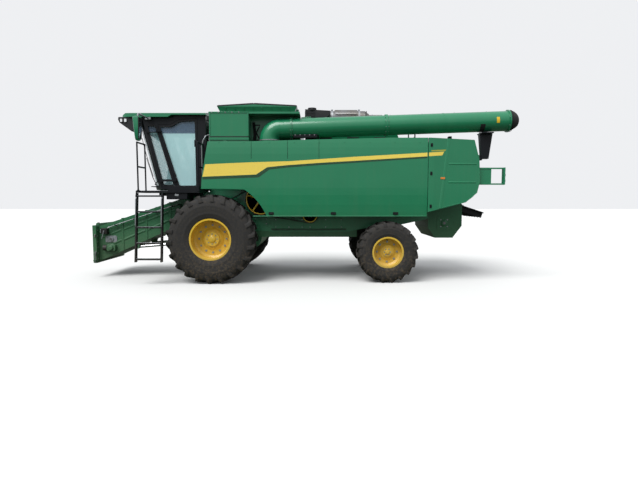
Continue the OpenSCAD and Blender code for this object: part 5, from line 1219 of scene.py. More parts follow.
for sideName, sign in bothSides:
    face = sign * tank["half"]
    skin = Shape()
    rear = tank["recessX"] if sign < 0 else tank["x1"]
    low = face + sign * gap
    skin.box(tank["x0"] + 0.002, rear - 0.004, low, face + sign * 0.012, tank["stripTop"], 3.571)
    skin.box(tank["x0"] + 0.002, tank["x0"] + 0.026, low, face + sign * 0.008, tank["stripLow"],
        tank["stripTop"])
    skin.box(rear - 0.03, rear - 0.004, low, face + sign * 0.008, tank["stripLow"], tank["stripTop"])
    for k in range(1, 1 + (tank["rightRibs"] if sign > 0 else 0)):
        x = tank["x0"] + k * (rear - tank["x0"]) / (tank["rightRibs"] + 1)
        skin.plate(rectangle(x - 0.022, x + 0.022, 3.085, 3.53), low, face + sign * 0.004)
    skin.make("tankStrips" + sideName, "green", bevel=0.0025)
    Shape().box(tank["x0"] + 0.002, rear - 0.002, low, face + sign * 0.003, tank["sealLow"],
        3.07).make("tankSealStrip" + sideName, "rubber")
    boltRow("tankTopBolts" + sideName, (tank["x0"] + 0.06, face + sign * 0.012, 3.56),
        (tank["boltPitch"], 0, 0), 5 if sign < 0 else 13, "y", sign)
frontSkin = Shape()
for k in range(6):
    y = -1.12 + k * 0.448
    frontSkin.plate(rectangle(y - 0.02, y + 0.02, 2.8, 3.54), tank["x0"] - 0.012, tank["x0"] - gap, "x")
frontSkin.box(tank["x0"] - 0.014, tank["x0"] - gap, -1.39, 1.39, 3.548, 3.571)
frontSkin.make("tankFrontRibs", "green", bevel=0.003)
Shape().plate(roundedLoop(rectangle(-0.3, 0.3, 3.02, 3.36), 0.04), tank["x0"] - 0.018, tank["x0"] - 0.0004,
    "x").make("tankWindow", "glass", bevel=0.002)
Shape().tube([(tank["x0"] - 0.01, y, z) for y, z in roundedLoop(rectangle(-0.31, 0.31, 3.01, 3.37), 0.05)],
    0.011, 8, True).make("tankWindowRim", "rubber")


def rimFace(z):  # how far the rim's face has flared out at a height
    return tank["flare"] * (z - tank["top"]) / (tank["rimZ"] - tank["top"])


rimRibs = Shape()


def rimRib(along, foot, out, thick, axis):  # a rib from the rim's foot up to its flared edge
    high = tank["rimZ"] - 0.012
    corners = []
    for z, flare in ((tank["top"] + 0.002, 0.0), (high, rimFace(high))):
        for wide, lift in ((-0.012, 0.0), (0.012, 0.0), (0.012, thick), (-0.012, thick)):
            across = foot + out * (flare + lift)
            corners.append((along + wide, across, z) if axis == "x" else (across, along + wide, z))
    rimRibs.block(corners)


x0, x1 = tank["rimX"]
for sign in (-1, 1):
    for k in range(8):
        rimRib(x0 + 0.12 + k * (x1 - x0 - 0.24) / 7, sign * tank["rimY"], sign, 0.014, "x")
    for x, out in ((x0, -1), (x1, 1)):
        for k in range(3):
            rimRib(sign * (0.22 + k * 0.45), x, out, 0.012, "y")
rimRibs.make("rimRibs", "green", bevel=0.002)
Shape().tube([(x, y, tank["top"] + 0.006) for x, y in rectangle(x0 - 0.004, x1 + 0.004,
    -tank["rimY"] - 0.004, tank["rimY"] + 0.004)], 0.007, 6, True).make("rimSeal", "rubber")

lids = {"front": (-1.66, 1), "rear": (-0.01, -1)}  # hinge and the way from it to the middle
edgeX = tank["ridgeX"]
for lidName, (hingeX, away) in lids.items():
    lidBody = "tank_lid_" + lidName
    slope = (tank["ridgeZ"] - tank["rimZ"]) / abs(edgeX - hingeX)

    def lidTop(x):
        return tank["rimZ"] + 0.0243 + slope * abs(x - hingeX)

    ribs = Shape()
    x0, x1 = hingeX + away * 0.05, edgeX - away * 0.05
    for k in range(7):
        y = -1.17 + k * 0.39
        ribs.block([(x, y + wide, lidTop(x)) for x, wide in rectangle(x0, x1, -0.03, 0.03)]
            + [(x + inset, y + wide, lidTop(x) + 0.007) for x, inset, wide in ((x0, away * 0.02, -0.015),
            (x1, -away * 0.02, -0.015), (x1, -away * 0.02, 0.015), (x0, away * 0.02, 0.015))])
    x0, x1 = hingeX + away * 0.02, edgeX - away * 0.012
    for sign in (-1, 1):
        rim = [(x, sign * y, lidTop(hinge) - 0.002) for x, y, hinge in ((x0, 1.382, hingeX),
            (x1, 1.382, edgeX), (x1, 1.362, edgeX), (x0, 1.362, hingeX))]
        ribs.block(rim + [(x, sign * y, z + 0.01) for (x, _, z), y in zip(rim, (1.38, 1.38, 1.364, 1.364))])
    ribs.make(lidName + "LidRibs", "plastic", lidBody, 0.002)
    for y in (-0.35, 0.35):
        x = edgeX - away * 0.55
        foot, grip = lidTop(x) + 0.002, lidTop(x) + 0.028
        Shape().tube([(x, y - 0.05, foot), (x, y - 0.048, grip), (x, y + 0.048, grip), (x, y + 0.05, foot)],
            0.007, 8).make(lidName + "LidHandle" + ("A" if y < 0 else "B"), "zinc", lidBody)

recessBrace = Shape()
for z0, z1 in ((3.075, 3.33), (3.33, 3.075)):
    recessBrace.tube([(-0.975, -0.965, z0), (-0.845, -0.965, z1)], 0.012, 8)
recessBrace.box(-0.995, -0.825, -0.958, -0.9455, 3.03, 3.055)
recessBrace.box(-0.995, -0.825, -0.958, -0.9455, 3.35, 3.375)
recessBrace.make("recessBrace", "black", bevel=0.002)
recessHose = Shape()
for k in range(3):
    recessHose.tube([(-0.985 + k * 0.024, -0.965, 2.62), (-0.98 + k * 0.026, -0.968 - k * 0.004, 2.9),
        (-0.955 + k * 0.02, -0.97, 3.15), (-0.985 + k * 0.02, -0.965, 3.42)], 0.009, 8)
recessHose.tube([(0.03, -0.965, 2.62), (0.028, -0.97, 3.0), (0.01, -0.968, 3.4)], 0.012, 8)
recessHose.make("recessHoses", "rubber")
print("tank dressed")

# Unloading tube: ring bolts, seams, side plate, swing ring, reflector and the rubber spout
tube = {
    "root": (-0.373, -1.19, 3.245), "rise": 2.0, "length": 4.823, "radius": 0.208,
    "turret": (-0.6, -1.19), "swingZ": 2.99, "rings": ((0.245, 0.23, 0.015, 12, (-1, 1)),
        (2.2435, 0.228, 0.025, 12, (-1, 1)), (4.8075, 0.233, 0.0145, 8, (-1,))),
}
tubeTurn = Matrix.Translation(Vector(tube["root"])) @ Matrix.Rotation(math.radians(90 - tube["rise"]), 4, "Y")


def roundTube(along, angle, radius):  # a place round the tube's axis, angle 0 is the side towards the left
    a = math.radians(angle)
    return tuple(tubeTurn @ Vector((-radius * math.sin(a), -radius * math.cos(a), along)))


def onTube(along, angle, out=0.0):
    return roundTube(along, angle, tube["radius"] + out)


def aroundTube(name, finishName, along, width, out, sweep):  # a strip laid round a part of the tube
    steps = max(6, int((sweep[1] - sweep[0]) / 6))
    points = []
    for k in range(steps + 1):
        angle = sweep[0] + (sweep[1] - sweep[0]) * k / steps
        points += [onTube(along - width / 2, angle, gap), onTube(along - width / 2, angle, out),
            onTube(along + width / 2, angle, out), onTube(along + width / 2, angle, gap)]
    faces = []
    for k in range(0, steps * 4, 4):
        faces += [(k + i, k + (i + 1) % 4, k + 4 + (i + 1) % 4, k + 4 + i) for i in range(4)]
    faces += [(3, 2, 1, 0), tuple(steps * 4 + i for i in range(4))]
    Shape().put(points, faces).make(name, finishName, "unloading_auger")


for number, (along, radius, reach, count, sides) in enumerate(tube["rings"]):
    bolts = Shape()
    for k in range(count):
        for side in sides:
            direction = tubeTurn.to_3x3() @ Vector((0, 0, side))
            start = Vector(roundTube(along, 15 + k * 360 // count, radius - 0.01)) + direction * reach
            bolts.tube([start, start + direction * 0.009], 0.0085, 6)
            bolts.tube([start, start + direction * 0.0018], 0.0105, 14)
    bolts.make("tubeRingBolts%d" % number, "zinc", "unloading_auger")
aroundTube("tubeSeam", "green", 1.15, 0.03, 0.0035, (-70, 250))
aroundTube("tubeSeamRear", "green", 3.45, 0.03, 0.0035, (-70, 250))
aroundTube("wearBand", "rubber", 4.235, 0.1, 0.003, (200, 340))
aroundTube("tubeReflector", "yellow", 4.545, 0.062, 0.0045, (-16, 17))
saddle = Shape()
for along in (0.3, 0.8):
    saddle.tube([onTube(along, -52, -0.004), onTube(along, -75, 0.05), onTube(along, -100, 0.06)], 0.012, 8)
saddle.box(-0.085, 0.41, -1.338, -1.326, 3.055, 3.15)
saddle.box(-0.085, 0.41, -1.338, -1.29, 3.05, 3.062)
saddle.make("tubeSidePlate", "black", "unloading_auger", 0.003)
for k in range(5):
    spot = (-0.045 + k * 0.1, -1.338, 3.105)
    hexBolt(spot, "y", -1, 0.009, 0.007).make("sidePlateBolt%d" % k, "zinc", "unloading_auger")
Shape().turned([(0.2185, 0.004), (0.226, 0.006), (0.226, 0.02), (0.2185, 0.022)],
    (*tube["turret"], tube["swingZ"]), "z", 64).make("swingRing", "zinc", "unloading_auger")
topPlate = Shape()
for angle in (82, 98):
    topPlate.tube([onTube(0.46, angle, 0.012), onTube(0.66, angle, 0.012)], 0.012, 8)
topPlate.block([onTube(0.46, 80, 0.0005), onTube(0.46, 100, 0.0005), onTube(0.66, 100, 0.0005),
    onTube(0.66, 80, 0.0005), onTube(0.46, 82, 0.018), onTube(0.46, 98, 0.018), onTube(0.66, 98, 0.018),
    onTube(0.66, 82, 0.018)])
topPlate.make("tubeTopBracket", "green", "unloading_auger", 0.002)
Shape().tube([onTube(0.05 + 0.25 * k, 104 + 2 * math.sin(k * 1.7), 0.007) for k in range(19)], 0.006,
    6).make("tubeLampLead", "rubber", "unloading_auger")
for k in range(7):
    aroundTube("leadClip%d" % k, "zinc", 0.3 + k * 0.68, 0.018, 0.016, (98, 110))
spoutRibs = Shape()
for k, size in enumerate((0.2205, 0.2215)):
    spoutRibs.tube([roundTube(tube["length"] + 0.012 + k * 0.028, angle, size)
        for angle in range(0, 360, 6)], 0.005, 6, True)
spoutRibs.make("spoutRibs", "rubber", "unloading_auger")
print("unloading tube dressed")

# Engine deck: cover louvres, exhaust straps, intake, caps and hoses
deck = {
    "top": 2.95, "coverTop": 3.2, "coverLeft": -0.77, "exhaustY": -0.6, "exhaustZ": 3.565,
    "exhaustR": 0.16, "intakeX": (0.15, 0.39), "intakeY": (-0.945, -0.785),
}
coverShape = Shape()
for k in range(4):
    x = 0.36 + k * 0.46
    coverShape.box(x, x + 0.4, -0.55, 0.8, deck["coverTop"] + gap, deck["coverTop"] + 0.012)
coverShape.make("engineCoverPanels", "green", bevel=0.005)
louvre = Shape().put([(0, -0.14, 0), (0.045, -0.14, 0), (0.045, 0.14, 0), (0, 0.14, 0),
    (0.008, -0.14, 0.016), (0.008, 0.14, 0.016)], [(0, 3, 2, 1), (1, 2, 5, 4), (0, 1, 4), (3, 5, 2),
    (0, 4, 5, 3)])
for k, (x, y) in enumerate([(x, y) for x in (0.42, 0.88) for y in (-0.3, 0.5)]):
    repeated("coverLouvre%d" % k, "row", "black", "chassis", louvre, Count=5,
        Start=(x, y, deck["coverTop"] + 0.0125), Step=(0.058, 0, 0))
sideLouvre = Shape().put([(-0.13, 0, 0), (0.13, 0, 0), (0.13, 0, 0.018), (-0.13, 0, 0.018),
    (-0.13, -0.014, 0.004), (0.13, -0.014, 0.004)], [(0, 3, 2, 1), (0, 1, 5, 4), (4, 5, 2, 3), (0, 4, 3),
    (1, 2, 5)])
for k in range(3):
    repeated("coverSideLouvre%d" % k, "row", "black", "chassis", sideLouvre, Count=6,
        Start=(0.6 + k * 0.6, deck["coverLeft"] - gap, 2.985), Step=(0, 0, 0.026))
boltRow("coverBolts", (0.36, -0.72, deck["coverTop"] + gap), (0.15, 0, 0), 13, "z", 1)
boltRow("coverBoltsRight", (0.36, 0.95, deck["coverTop"] + gap), (0.15, 0, 0), 13, "z", 1)

y, z, r = deck["exhaustY"], deck["exhaustZ"], deck["exhaustR"]
straps = Shape()
for x in (0.74, 1.34):
    straps.turned(rectangle(r + 0.0004, r + 0.0045, -0.02, 0.02), (x, y, z), "x", 56)
    straps.box(x - 0.022, x + 0.022, y - 0.02, y - 0.005, z + r + 0.002, z + r + 0.034)
    straps.box(x - 0.022, x + 0.022, y + 0.005, y + 0.02, z + r + 0.002, z + r + 0.034)
    straps.tube([(x, y - 0.03, z + r + 0.02), (x, y + 0.03, z + r + 0.02)], 0.006, 8)
straps.make("exhaustStraps", "zinc", bevel=0.001)
steps = 18
points, faces = [], []
for k in range(steps + 1):
    a = math.radians(20 + 140 * k / steps)
    for x in (0.8, 1.3):
        points.append((x, y - (r + 0.022) * math.cos(a), z + (r + 0.022) * math.sin(a)))
        points.append((x, y - (r + 0.025) * math.cos(a), z + (r + 0.025) * math.sin(a)))
for k in range(steps):
    a, b = k * 4, k * 4 + 4
    faces += [(a, b, b + 2, a + 2), (a + 1, a + 3, b + 3, b + 1), (a, a + 1, b + 1, b),
        (a + 2, b + 2, b + 3, a + 3)]
faces += [(0, 2, 3, 1), (steps * 4, steps * 4 + 1, steps * 4 + 3, steps * 4 + 2)]
Shape().put(points, faces).make("heatShield", "exhaust")
seams = Shape()
for x in (0.575, 1.505):
    seams.turned([(r - 0.0015, -0.006), (r + 0.004, -0.003), (r + 0.004, 0.003), (r - 0.0015, 0.006)],
        (x, y, z), "x", 56)
seams.tube([(0.6, y - r - 0.002, z - 0.03), (1.48, y - r - 0.002, z - 0.03)], 0.004, 6)
seams.make("exhaustSeams", "exhaust")
tail = Shape().turned(rectangle(0.03, 0.0335, 0.0, 0.04), (1.62, y, z + 0.05), "x", 24)
tail.box(1.61, 1.65, y - 0.05, y - 0.032, z + 0.03, z + 0.07)
tail.make("tailPipeClamp", "zinc", bevel=0.001)
Shape().tube([(0.66, -0.46, 3.52), (0.6, -0.3, 3.42), (0.6, -0.24, 3.3), (0.6, -0.24, 3.205)],
    [0.055, 0.055, 0.055, 0.06], 18).make("exhaustDownPipe", "exhaust")

grille = Shape()
for k in range(9):
    z0 = 3.4 + k * 0.031
    grille.box(deck["intakeX"][0] + 0.02, deck["intakeX"][1] - 0.02, deck["intakeY"][0] - 0.006,
        deck["intakeY"][0] - gap, z0, z0 + 0.014)
    grille.box(deck["intakeX"][0] - 0.006, deck["intakeX"][0] - gap, deck["intakeY"][0] + 0.015,
        deck["intakeY"][1] - 0.015, z0, z0 + 0.014)
grille.make("intakeGrille", "plastic", bevel=0.002)
bowl = Shape().turned([(0.001, 0.118), (0.052, 0.112), (0.084, 0.09), (0.092, 0.055), (0.092, 0.01),
    (0.104, 0.004), (0.104, -0.014), (0.052, -0.02)], (0.3, -0.865, 3.7), "z", 36)
bowl.points = [(x, yy, 3.7 + min(zz - 3.7, 0.04)) for x, yy, zz in bowl.points]  # flat on top
bowl.make("intakeBowl", "plastic")
Shape().tube([(0.62, -0.8, 3.45), (0.64, -0.7, 3.44), (0.62, -0.5, 3.36), (0.54, -0.36, 3.27),
    (0.5, -0.3, 3.205)], 0.062, 20).make("intakeDuct", "rubber")
ductClamps = Shape()
for x, yy, zz in ((0.637, -0.72, 3.442), (0.555, -0.38, 3.284)):
    ductClamps.turned(rectangle(0.0625, 0.066, -0.008, 0.008), (x, yy, zz), "y", 24)
ductClamps.make("ductClamps", "zinc")

fillers = Shape()
for x, yy, size in ((2.46, -1.18, 0.062), (2.46, -0.86, 0.048), (2.3, 0.96, 0.055)):
    fillers.turned([(0.001, 0.072), (size * 0.86, 0.07), (size, 0.06), (size, 0.034), (size * 0.78, 0.032),
        (size * 0.78, gap)], (x, yy, deck["top"]), "z", 28)
    for k in range(10):
        fillers.tube([onCircle((x, yy, deck["top"] + lift), size, k * 36, "z") for lift in (0.036, 0.06)],
            0.005, 6)
fillers.make("fillerCaps", "plastic")
deckShape = Shape()
for x0, x1, y0, y1 in ((0.75, 1.55, -1.33, -0.82), (1.6, 2.2, -1.33, -0.82), (2.3, 2.68, -0.7, 0.8),
        (0.12, 0.7, 1.06, 1.36)):
    deckShape.plate(roundedLoop(rectangle(x0, x1, y0, y1), 0.03, 3), deck["top"] + gap,
        deck["top"] + 0.007, "z")
deckShape.make("deckPanels", "green", bevel=0.002)
grit = Shape().box(-0.018, 0.018, -0.003, 0.003, 0.0, 0.003)
for k, (x, yy) in enumerate(((0.8, -1.28), (0.82, -1.255))):
    repeated("deckTread%d" % k, "row", "zinc", "chassis", grit, Count=28,
        Start=(x, yy, deck["top"] + 0.0073), Step=(0.05, 0, 0))
Shape().box(1.62, 2.12, 1.04, 1.34, deck["top"] + gap, deck["top"] + 0.2).make("batteryBox", "plastic",
    bevel=0.018)
boxHandles = Shape()
for x in (1.74, 2.0):
    boxHandles.box(x - 0.02, x + 0.02, 1.341, 1.352, deck["top"] + 0.09, deck["top"] + 0.15)
boxHandles.make("batteryLatches", "zinc", bevel=0.003)
hoses = Shape().tube([(0.08, -1.05, 2.99), (0.3, -1.02, 2.985), (0.55, -1.0, 2.985), (0.72, -0.96, 2.97),
    (0.74, -0.9, 2.952)], 0.014, 8)
hoses.tube([(0.08, -1.1, 2.98), (0.35, -1.075, 2.975), (0.6, -1.05, 2.975), (0.74, -1.02, 2.952)], 0.012, 8)
hoses.tube([(2.2, 0.3, 3.1), (2.3, 0.32, 3.08), (2.36, 0.34, 3.0), (2.37, 0.34, 2.96)], 0.022, 10)
hoses.tube([(2.19, -0.25, 3.09), (2.32, -0.25, 3.06), (2.4, -0.25, 2.96)], 0.018, 10)
hoses.make("deckHoses", "rubber")
railing = Shape().tube([(2.64, -0.4, 2.958), (2.64, -0.4, 3.36), (2.64, -0.36, 3.4), (2.64, 0.36, 3.4),
    (2.64, 0.4, 3.36), (2.64, 0.4, 2.958)], 0.015, 10)
railing.tube([(2.64, -0.4, 3.18), (2.64, 0.4, 3.18)], 0.011, 8)
railing.make("deckRailing", "black")
beacon = Shape().turned([(0.001, 0.13), (0.04, 0.125), (0.052, 0.1), (0.055, 0.03)],
    (2.55, 0.98, deck["top"] + 0.12), "z", 28)
beaconFoot = Shape().turned([(0.058, 0.03), (0.06, 0.0), (0.06, -0.012), (0.02, -0.014), (0.018, -0.1195)],
    (2.55, 0.98, deck["top"] + 0.12), "z", 28)
beacon.make("beaconLens", "amber")
beaconFoot.make("beaconFoot", "plastic")
print("engine deck dressed")

# Side shields: hems, latches, inner ribs and top bolts


def onShield(x, z, sign, out=0.0):
    return (x, sign * (shieldFace(x, z) + out), z)


for sideName, sign in bothSides:
    body = "shield_" + sideName.lower()
    hem = Shape().tube([onShield(-0.93, 1.412, sign, -0.003), onShield(0.4, 1.412, sign, -0.003),
        onShield(2.69, 1.412, sign, -0.003)], 0.01, 8)
    hem.tube([onShield(2.694, 1.42 + 0.1 * k, sign, -0.006) for k in range(16)], 0.009, 8)
    hem.make("shieldHem" + sideName, "green", body)
    latches = Shape()
    for x in shieldSpec["latchX"]:
        z = shieldSpec["latchZ"]
        latches.plate(roundedLoop(rectangle(x - 0.055, x + 0.055, z - 0.028, z + 0.028), 0.016, 4),
            sign * 1.468, sign * 1.476)
        latches.tube([(x - 0.035, sign * 1.474, z - 0.01), (x - 0.03, sign * 1.49, z - 0.004),
            (x + 0.03, sign * 1.49, z - 0.004), (x + 0.035, sign * 1.474, z - 0.01)], 0.006, 8)
    latches.make("shieldLatches" + sideName, "black", body, 0.001)
    inner = Shape()
    for x in (-0.55, 0.62, 2.0) if sign < 0 else (-0.55, 2.0):
        inner.box(x - 0.03, x + 0.03, sign * 1.4115, sign * 1.4395, 1.55, 2.82)
    inner.make("shieldInnerRibs" + sideName, "green", body, 0.003)
    bolts = Shape()
    for k in range(9):
        x = -1.62 + k * 0.52
        bolts.join(hexBolt(onShield(x, 2.935, sign, gap), "y", sign, 0.008, 0.006))
    bolts.make("shieldTopBolts" + sideName, "green", body)
print("shields dressed")

# Rear hood: crease, edge, pressings, latches and reflectors


def onHood(x, z, sign, out=0.0):
    return (x, sign * (hoodFace(x, z) + out), z)


for sideName, sign in bothSides:
    crease = Shape()
    topX, topZ, lowX, lowZ = hood["crease"]
    line = [(topX + (lowX - topX) * k / 12, topZ - 0.004 + (lowZ - topZ) * k / 12) for k in range(13)]
    count = len(line)
    points = []
    for x, z in line:
        points += [onHood(x - 0.014, z, sign, gap), onHood(x, z, sign, 0.008),
            onHood(x + 0.055, z, sign, gap)]
    faces = []
    for k in range(count - 1):
        a, b = k * 3, k * 3 + 3
        faces += [(a, a + 1, b + 1, b), (a + 1, a + 2, b + 2, b + 1), (a + 2, a, b, b + 2)]
    faces += [(0, 2, 1), (count * 3 - 3, count * 3 - 2, count * 3 - 1)]
    crease.put(points, faces)
    crease.make("hoodCrease" + sideName, "green", smoothAngle=50)
    edge = Shape().tube([onHood(x, z, sign, -0.006) for x, z in ((3.68, 2.985), (3.73, 2.8), (3.785, 2.62),
        (3.8, 2.4), (3.818, 2.16), (3.79, 2.02), (3.757, 1.905))], 0.011, 10)
    edge.tube([onHood(x, z, sign, -0.006) for x, z in ((3.757, 1.905), (3.66, 1.81), (3.525, 1.712),
        (3.1, 1.612), (2.73, 1.512))], 0.01, 8)
    edge.make("hoodEdge" + sideName, "green")
    bands = Shape()
    for z in (2.1, 2.48):
        bands.block(raisedPad(lambda x, z, lift: onHood(x, z, sign, lift), 3.14, 3.74, z, z + 0.035,
            (0.01, 0.008), gap, 0.007))
    bands.make("hoodPressings" + sideName, "green", smoothAngle=50)
    latch = Shape()
    for z in hood["latches"]:
        x = hood["latchX"]
        latch.box(x - 0.022, x + 0.022, sign * 1.5003, sign * 1.51, z - 0.035, z + 0.035)
        latch.tube([(x, sign * 1.508, z - 0.02), (x, sign * 1.519, z - 0.01), (x, sign * 1.519, z + 0.02)],
            0.005, 8)
    latch.make("hoodLatches" + sideName, "black", bevel=0.002)
    x, z = hood["reflector"]
    Shape().plate(rectangle(x - 0.045, x + 0.045, z - 0.02, z + 0.02), sign * (hoodFace(x + 0.045, z) + gap),
        sign * (hoodFace(x - 0.045, z) + 0.006)).make("hoodReflector" + sideName, "amber", bevel=0.002)
points = []
for z, inward in ((2.22, 0.015), (2.56, -0.015)):
    x = 3.8 + (2.6 - z) / 0.45 * 0.03
    points += [(x + 0.0005, -0.62, z), (x + 0.0005, 0.6, z), (x + 0.012, -0.6, z + inward),
        (x + 0.012, 0.58, z + inward)]
Shape().put(points, [(0, 1, 5, 4), (2, 6, 7, 3), (0, 2, 3, 1), (4, 5, 7, 6), (0, 4, 6, 2),
    (1, 3, 7, 5)]).make("hoodRearPressing", "green", smoothAngle=50)
print("rear hood dressed")

# Feeder house: chain and slats, side channels, pipes, coupler and face hooks
feeder = {
    "rearX": -2.38, "frontX": -4.56, "topRear": 1.87, "topFront": 1.15, "lowRear": 1.33,
    "lowFront": 0.36, "half": 0.62, "pipes": 3, "pipeY": -0.655, "pipePitch": 0.024,
}


def ductEdge(x, rear, front):  # height of the duct's roof or floor along its length
    share = (feeder[front] - feeder[rear]) / (feeder["frontX"] - feeder["rearX"])
    return feeder[rear] + (x - feeder["rearX"]) * share


def ductTop(x):
    return ductEdge(x, "topRear", "topFront")


def ductLow(x):
    return ductEdge(x, "lowRear", "lowFront")


slat = Shape().box(-0.014, 0.014, -0.55, 0.55, 0.012, 0.017)
slat.box(-0.014, -0.01, -0.55, 0.55, 0.012, 0.04)
slatSlope = (ductLow(-2.6) - ductLow(-4.45)) / 1.85
repeated("feederSlats", "row", "steel", "feeder_house", slat, Count=12,
    Start=(-4.44, 0, ductLow(-4.44) + 0.05), Step=(0.155, 0, 0.155 * slatSlope))
link = Shape().box(-0.017, 0.017, -0.013, -0.008, 0.0, 0.016)
link.box(-0.017, 0.017, 0.008, 0.013, 0.0, 0.016)
link.tube([(-0.014, -0.012, 0.008), (-0.014, 0.012, 0.008)], 0.006, 6)
for k, y in enumerate((-0.5, -0.17, 0.17, 0.5)):
    repeated("feederChain%d" % k, "row", "steel", "feeder_house", link, Count=50,
        Start=(-4.46, y, ductLow(-4.46) + 0.046), Step=(0.0375, 0, 0.0375 * slatSlope))
for sideName, sign in bothSides:
    y = sign * feeder["half"]
    out = Shape()
    for x0, x1 in ((-4.5, -4.045), (-4.0, -3.5), (-3.45, -2.955), (-2.9, -2.62)):
        for share in (0.3, 0.62):
            z0, z1 = (ductLow(x) + (ductTop(x) - ductLow(x)) * share for x in (x0, x1))
            low, high = y + sign * gap, y + sign * 0.011
            out.block([(x0, low, z0), (x1, low, z1), (x1, low, z1 + 0.055), (x0, low, z0 + 0.055),
                (x0 + 0.02, high, z0 + 0.015), (x1 - 0.02, high, z1 + 0.012), (x1 - 0.02, high, z1 + 0.04),
                (x0 + 0.02, high, z0 + 0.042)])
    out.make("feederSideRibs" + sideName, "darkGreen", "feeder_house", smoothAngle=50)
    slotPlate = Shape()
    x, z = -4.28, 0.8635
    slotPlate.plate(roundedLoop(rectangle(x - 0.13, x + 0.13, z - 0.075, z + 0.075), 0.03), sign * 0.6203,
        sign * 0.63)
    slotPlate.turned([(0.031, sign * 0.01), (0.055, sign * 0.01), (0.055, sign * 0.032),
        (0.031, sign * 0.034)], (x, sign * 0.6203, z), "y", 32)
    slotPlate.make("drumBearing" + sideName, "zinc", "feeder_house", 0.002)
    for k, (dx, dz) in enumerate(((-0.1, -0.05), (0.1, -0.05), (0.1, 0.05), (-0.1, 0.05))):
        hexBolt((x + dx, sign * 0.63, z + dz), "y", sign, 0.011,
            0.008).make("drumBearingBolt%s%d" % (sideName, k), "zinc", "feeder_house")
topCover = Shape()
for x0, x1 in ((-4.2, -3.58), (-3.38, -2.98)):
    topCover.block(raisedPad(lambda x, y, lift: (x, y, ductTop(x) + lift), x0, x1, -0.45, 0.45,
        (0.008, 0.01), 0.0005, 0.01))
topCover.make("feederTopCovers", "darkGreen", "feeder_house", smoothAngle=50)
coverKnobs = Shape()
for x in (-4.12, -3.66, -3.32, -3.04):
    for y in (-0.38, 0.38):
        coverKnobs.tube([(x, y, ductTop(x) + 0.008), (x, y, ductTop(x) + 0.024), (x, y, ductTop(x) + 0.03)],
            [0.008, 0.018, 0.014], 10)
coverKnobs.make("feederCoverKnobs", "plastic", "feeder_house")
pipeRun = Shape()
for k in range(feeder["pipes"]):
    y = feeder["pipeY"] - k * feeder["pipePitch"]
    route = [(-2.72, y, ductTop(-2.72) - 0.1)]
    for x in (-3.0, -3.5, -4.0, -4.25):
        route.append((x, y, ductTop(x) - 0.1))
    route.append((-4.33, y, ductTop(-4.33) - 0.09 - k * 0.012))
    pipeRun.tube(route, 0.0085, 8)
pipeRun.make("feederPipes", "zinc", "feeder_house")
pipeClips = Shape()
for x in (-2.85, -3.25, -3.72, -4.15):
    z = ductTop(x) - 0.1
    pipeClips.box(x - 0.012, x + 0.012, -0.716, -0.6203, z - 0.013, z + 0.013)
pipeClips.make("feederPipeClips", "black", "feeder_house", 0.002)
hoseArc = Shape()
for k in range(feeder["pipes"]):
    y = feeder["pipeY"] - k * feeder["pipePitch"]
    hoseArc.tube([(-2.74, y, ductTop(-2.74) - 0.1), (-2.7, y, ductTop(-2.7) - 0.12),
        (-2.66, y + 0.006, 1.64), (-2.67, y + 0.01, 1.58)], 0.0105, 8)
hoseArc.make("feederHoses", "rubber", "feeder_house")
coupler = Shape().box(-4.46, -4.33, -0.735, -0.6203, 0.985, 1.115)
coupler.box(-4.475, -4.46, -0.725, -0.635, 0.995, 1.105)
coupler.make("headerCoupler", "black", "feeder_house", 0.006)
couplerParts = Shape()
for z in (1.02, 1.05, 1.08):
    for y in (-0.66, -0.7):
        couplerParts.tube([(-4.474, y, z), (-4.488, y, z)], 0.01, 12)
couplerParts.tube([(-4.395, -0.737, 1.05), (-4.395, -0.748, 1.05), (-4.4, -0.75, 1.02),
    (-4.44, -0.75, 0.88)], [0.014, 0.014, 0.009, 0.009], 10)
couplerParts.make("couplerHandle", "zinc", "feeder_house")
driveBox = Shape().plate(roundedLoop(rectangle(-4.36, -4.16, 0.6, 0.74), 0.03), -0.715, -0.6203)
driveBox.turned([(0.001, -0.042), (0.045, -0.04), (0.055, -0.028), (0.055, 0.0)],
    (-4.26, -0.715, 0.67), "y", 28)
driveBox.make("feederGearbox", "darkGreen", "feeder_house", 0.006)
shaft = Shape().tube([(-4.37, -0.668, 0.67), (-4.455, -0.668, 0.67)], 0.022, 18)
for k in range(8):
    shaft.tube([onCircle((x, -0.668, 0.67), 0.022, k * 45, "x") for x in (-4.385, -4.453)], 0.004, 6)
shaft.make("headerShaft", "steel", "feeder_house")
guard = Shape().turned([(0.052, 0.0), (0.056, 0.0), (0.066, 0.075), (0.062, 0.075)],
    (-4.365, -0.668, 0.67), "x", 28)
guard.points = [(-4.365 - (x + 4.365), y, z) for x, y, z in guard.points]
guard.make("shaftGuard", "plastic", "feeder_house")

face = Shape()
for sign in (-1, 1):
    face.plate([(-4.636, 1.18), (-4.575, 1.18), (-4.575, 1.215), (-4.6, 1.215), (-4.612, 1.235),
        (-4.634, 1.235)], sign * 0.5 - 0.045, sign * 0.5 + 0.045)
    face.plate(rectangle(sign * 0.66, sign * 0.74, 0.42, 1.1), -4.6397, -4.6303, "x")
    for z in (0.55, 0.95):
        face.box(-4.6, -4.57, sign * 0.7603, sign * 0.785, z - 0.03, z + 0.03)
face.make("headerHooks", "steel", "feeder_house", 0.003)
faceBolts = Shape()
for sign in (-1, 1):
    for k in range(6):
        faceBolts.join(hexBolt((-4.561, sign * 0.7, 0.42 + k * 0.13), "x", 1, 0.012, 0.009))
faceBolts.make("faceBolts", "zinc", "feeder_house")
Shape().box(-4.6, -4.572, -0.56, 0.56, 0.376, 0.3995).make("faceLip", "rubber", "feeder_house", 0.003)
latchRod = Shape().tube([(-4.585, -0.72, 0.37), (-4.585, 0.72, 0.37)], 0.01, 10)
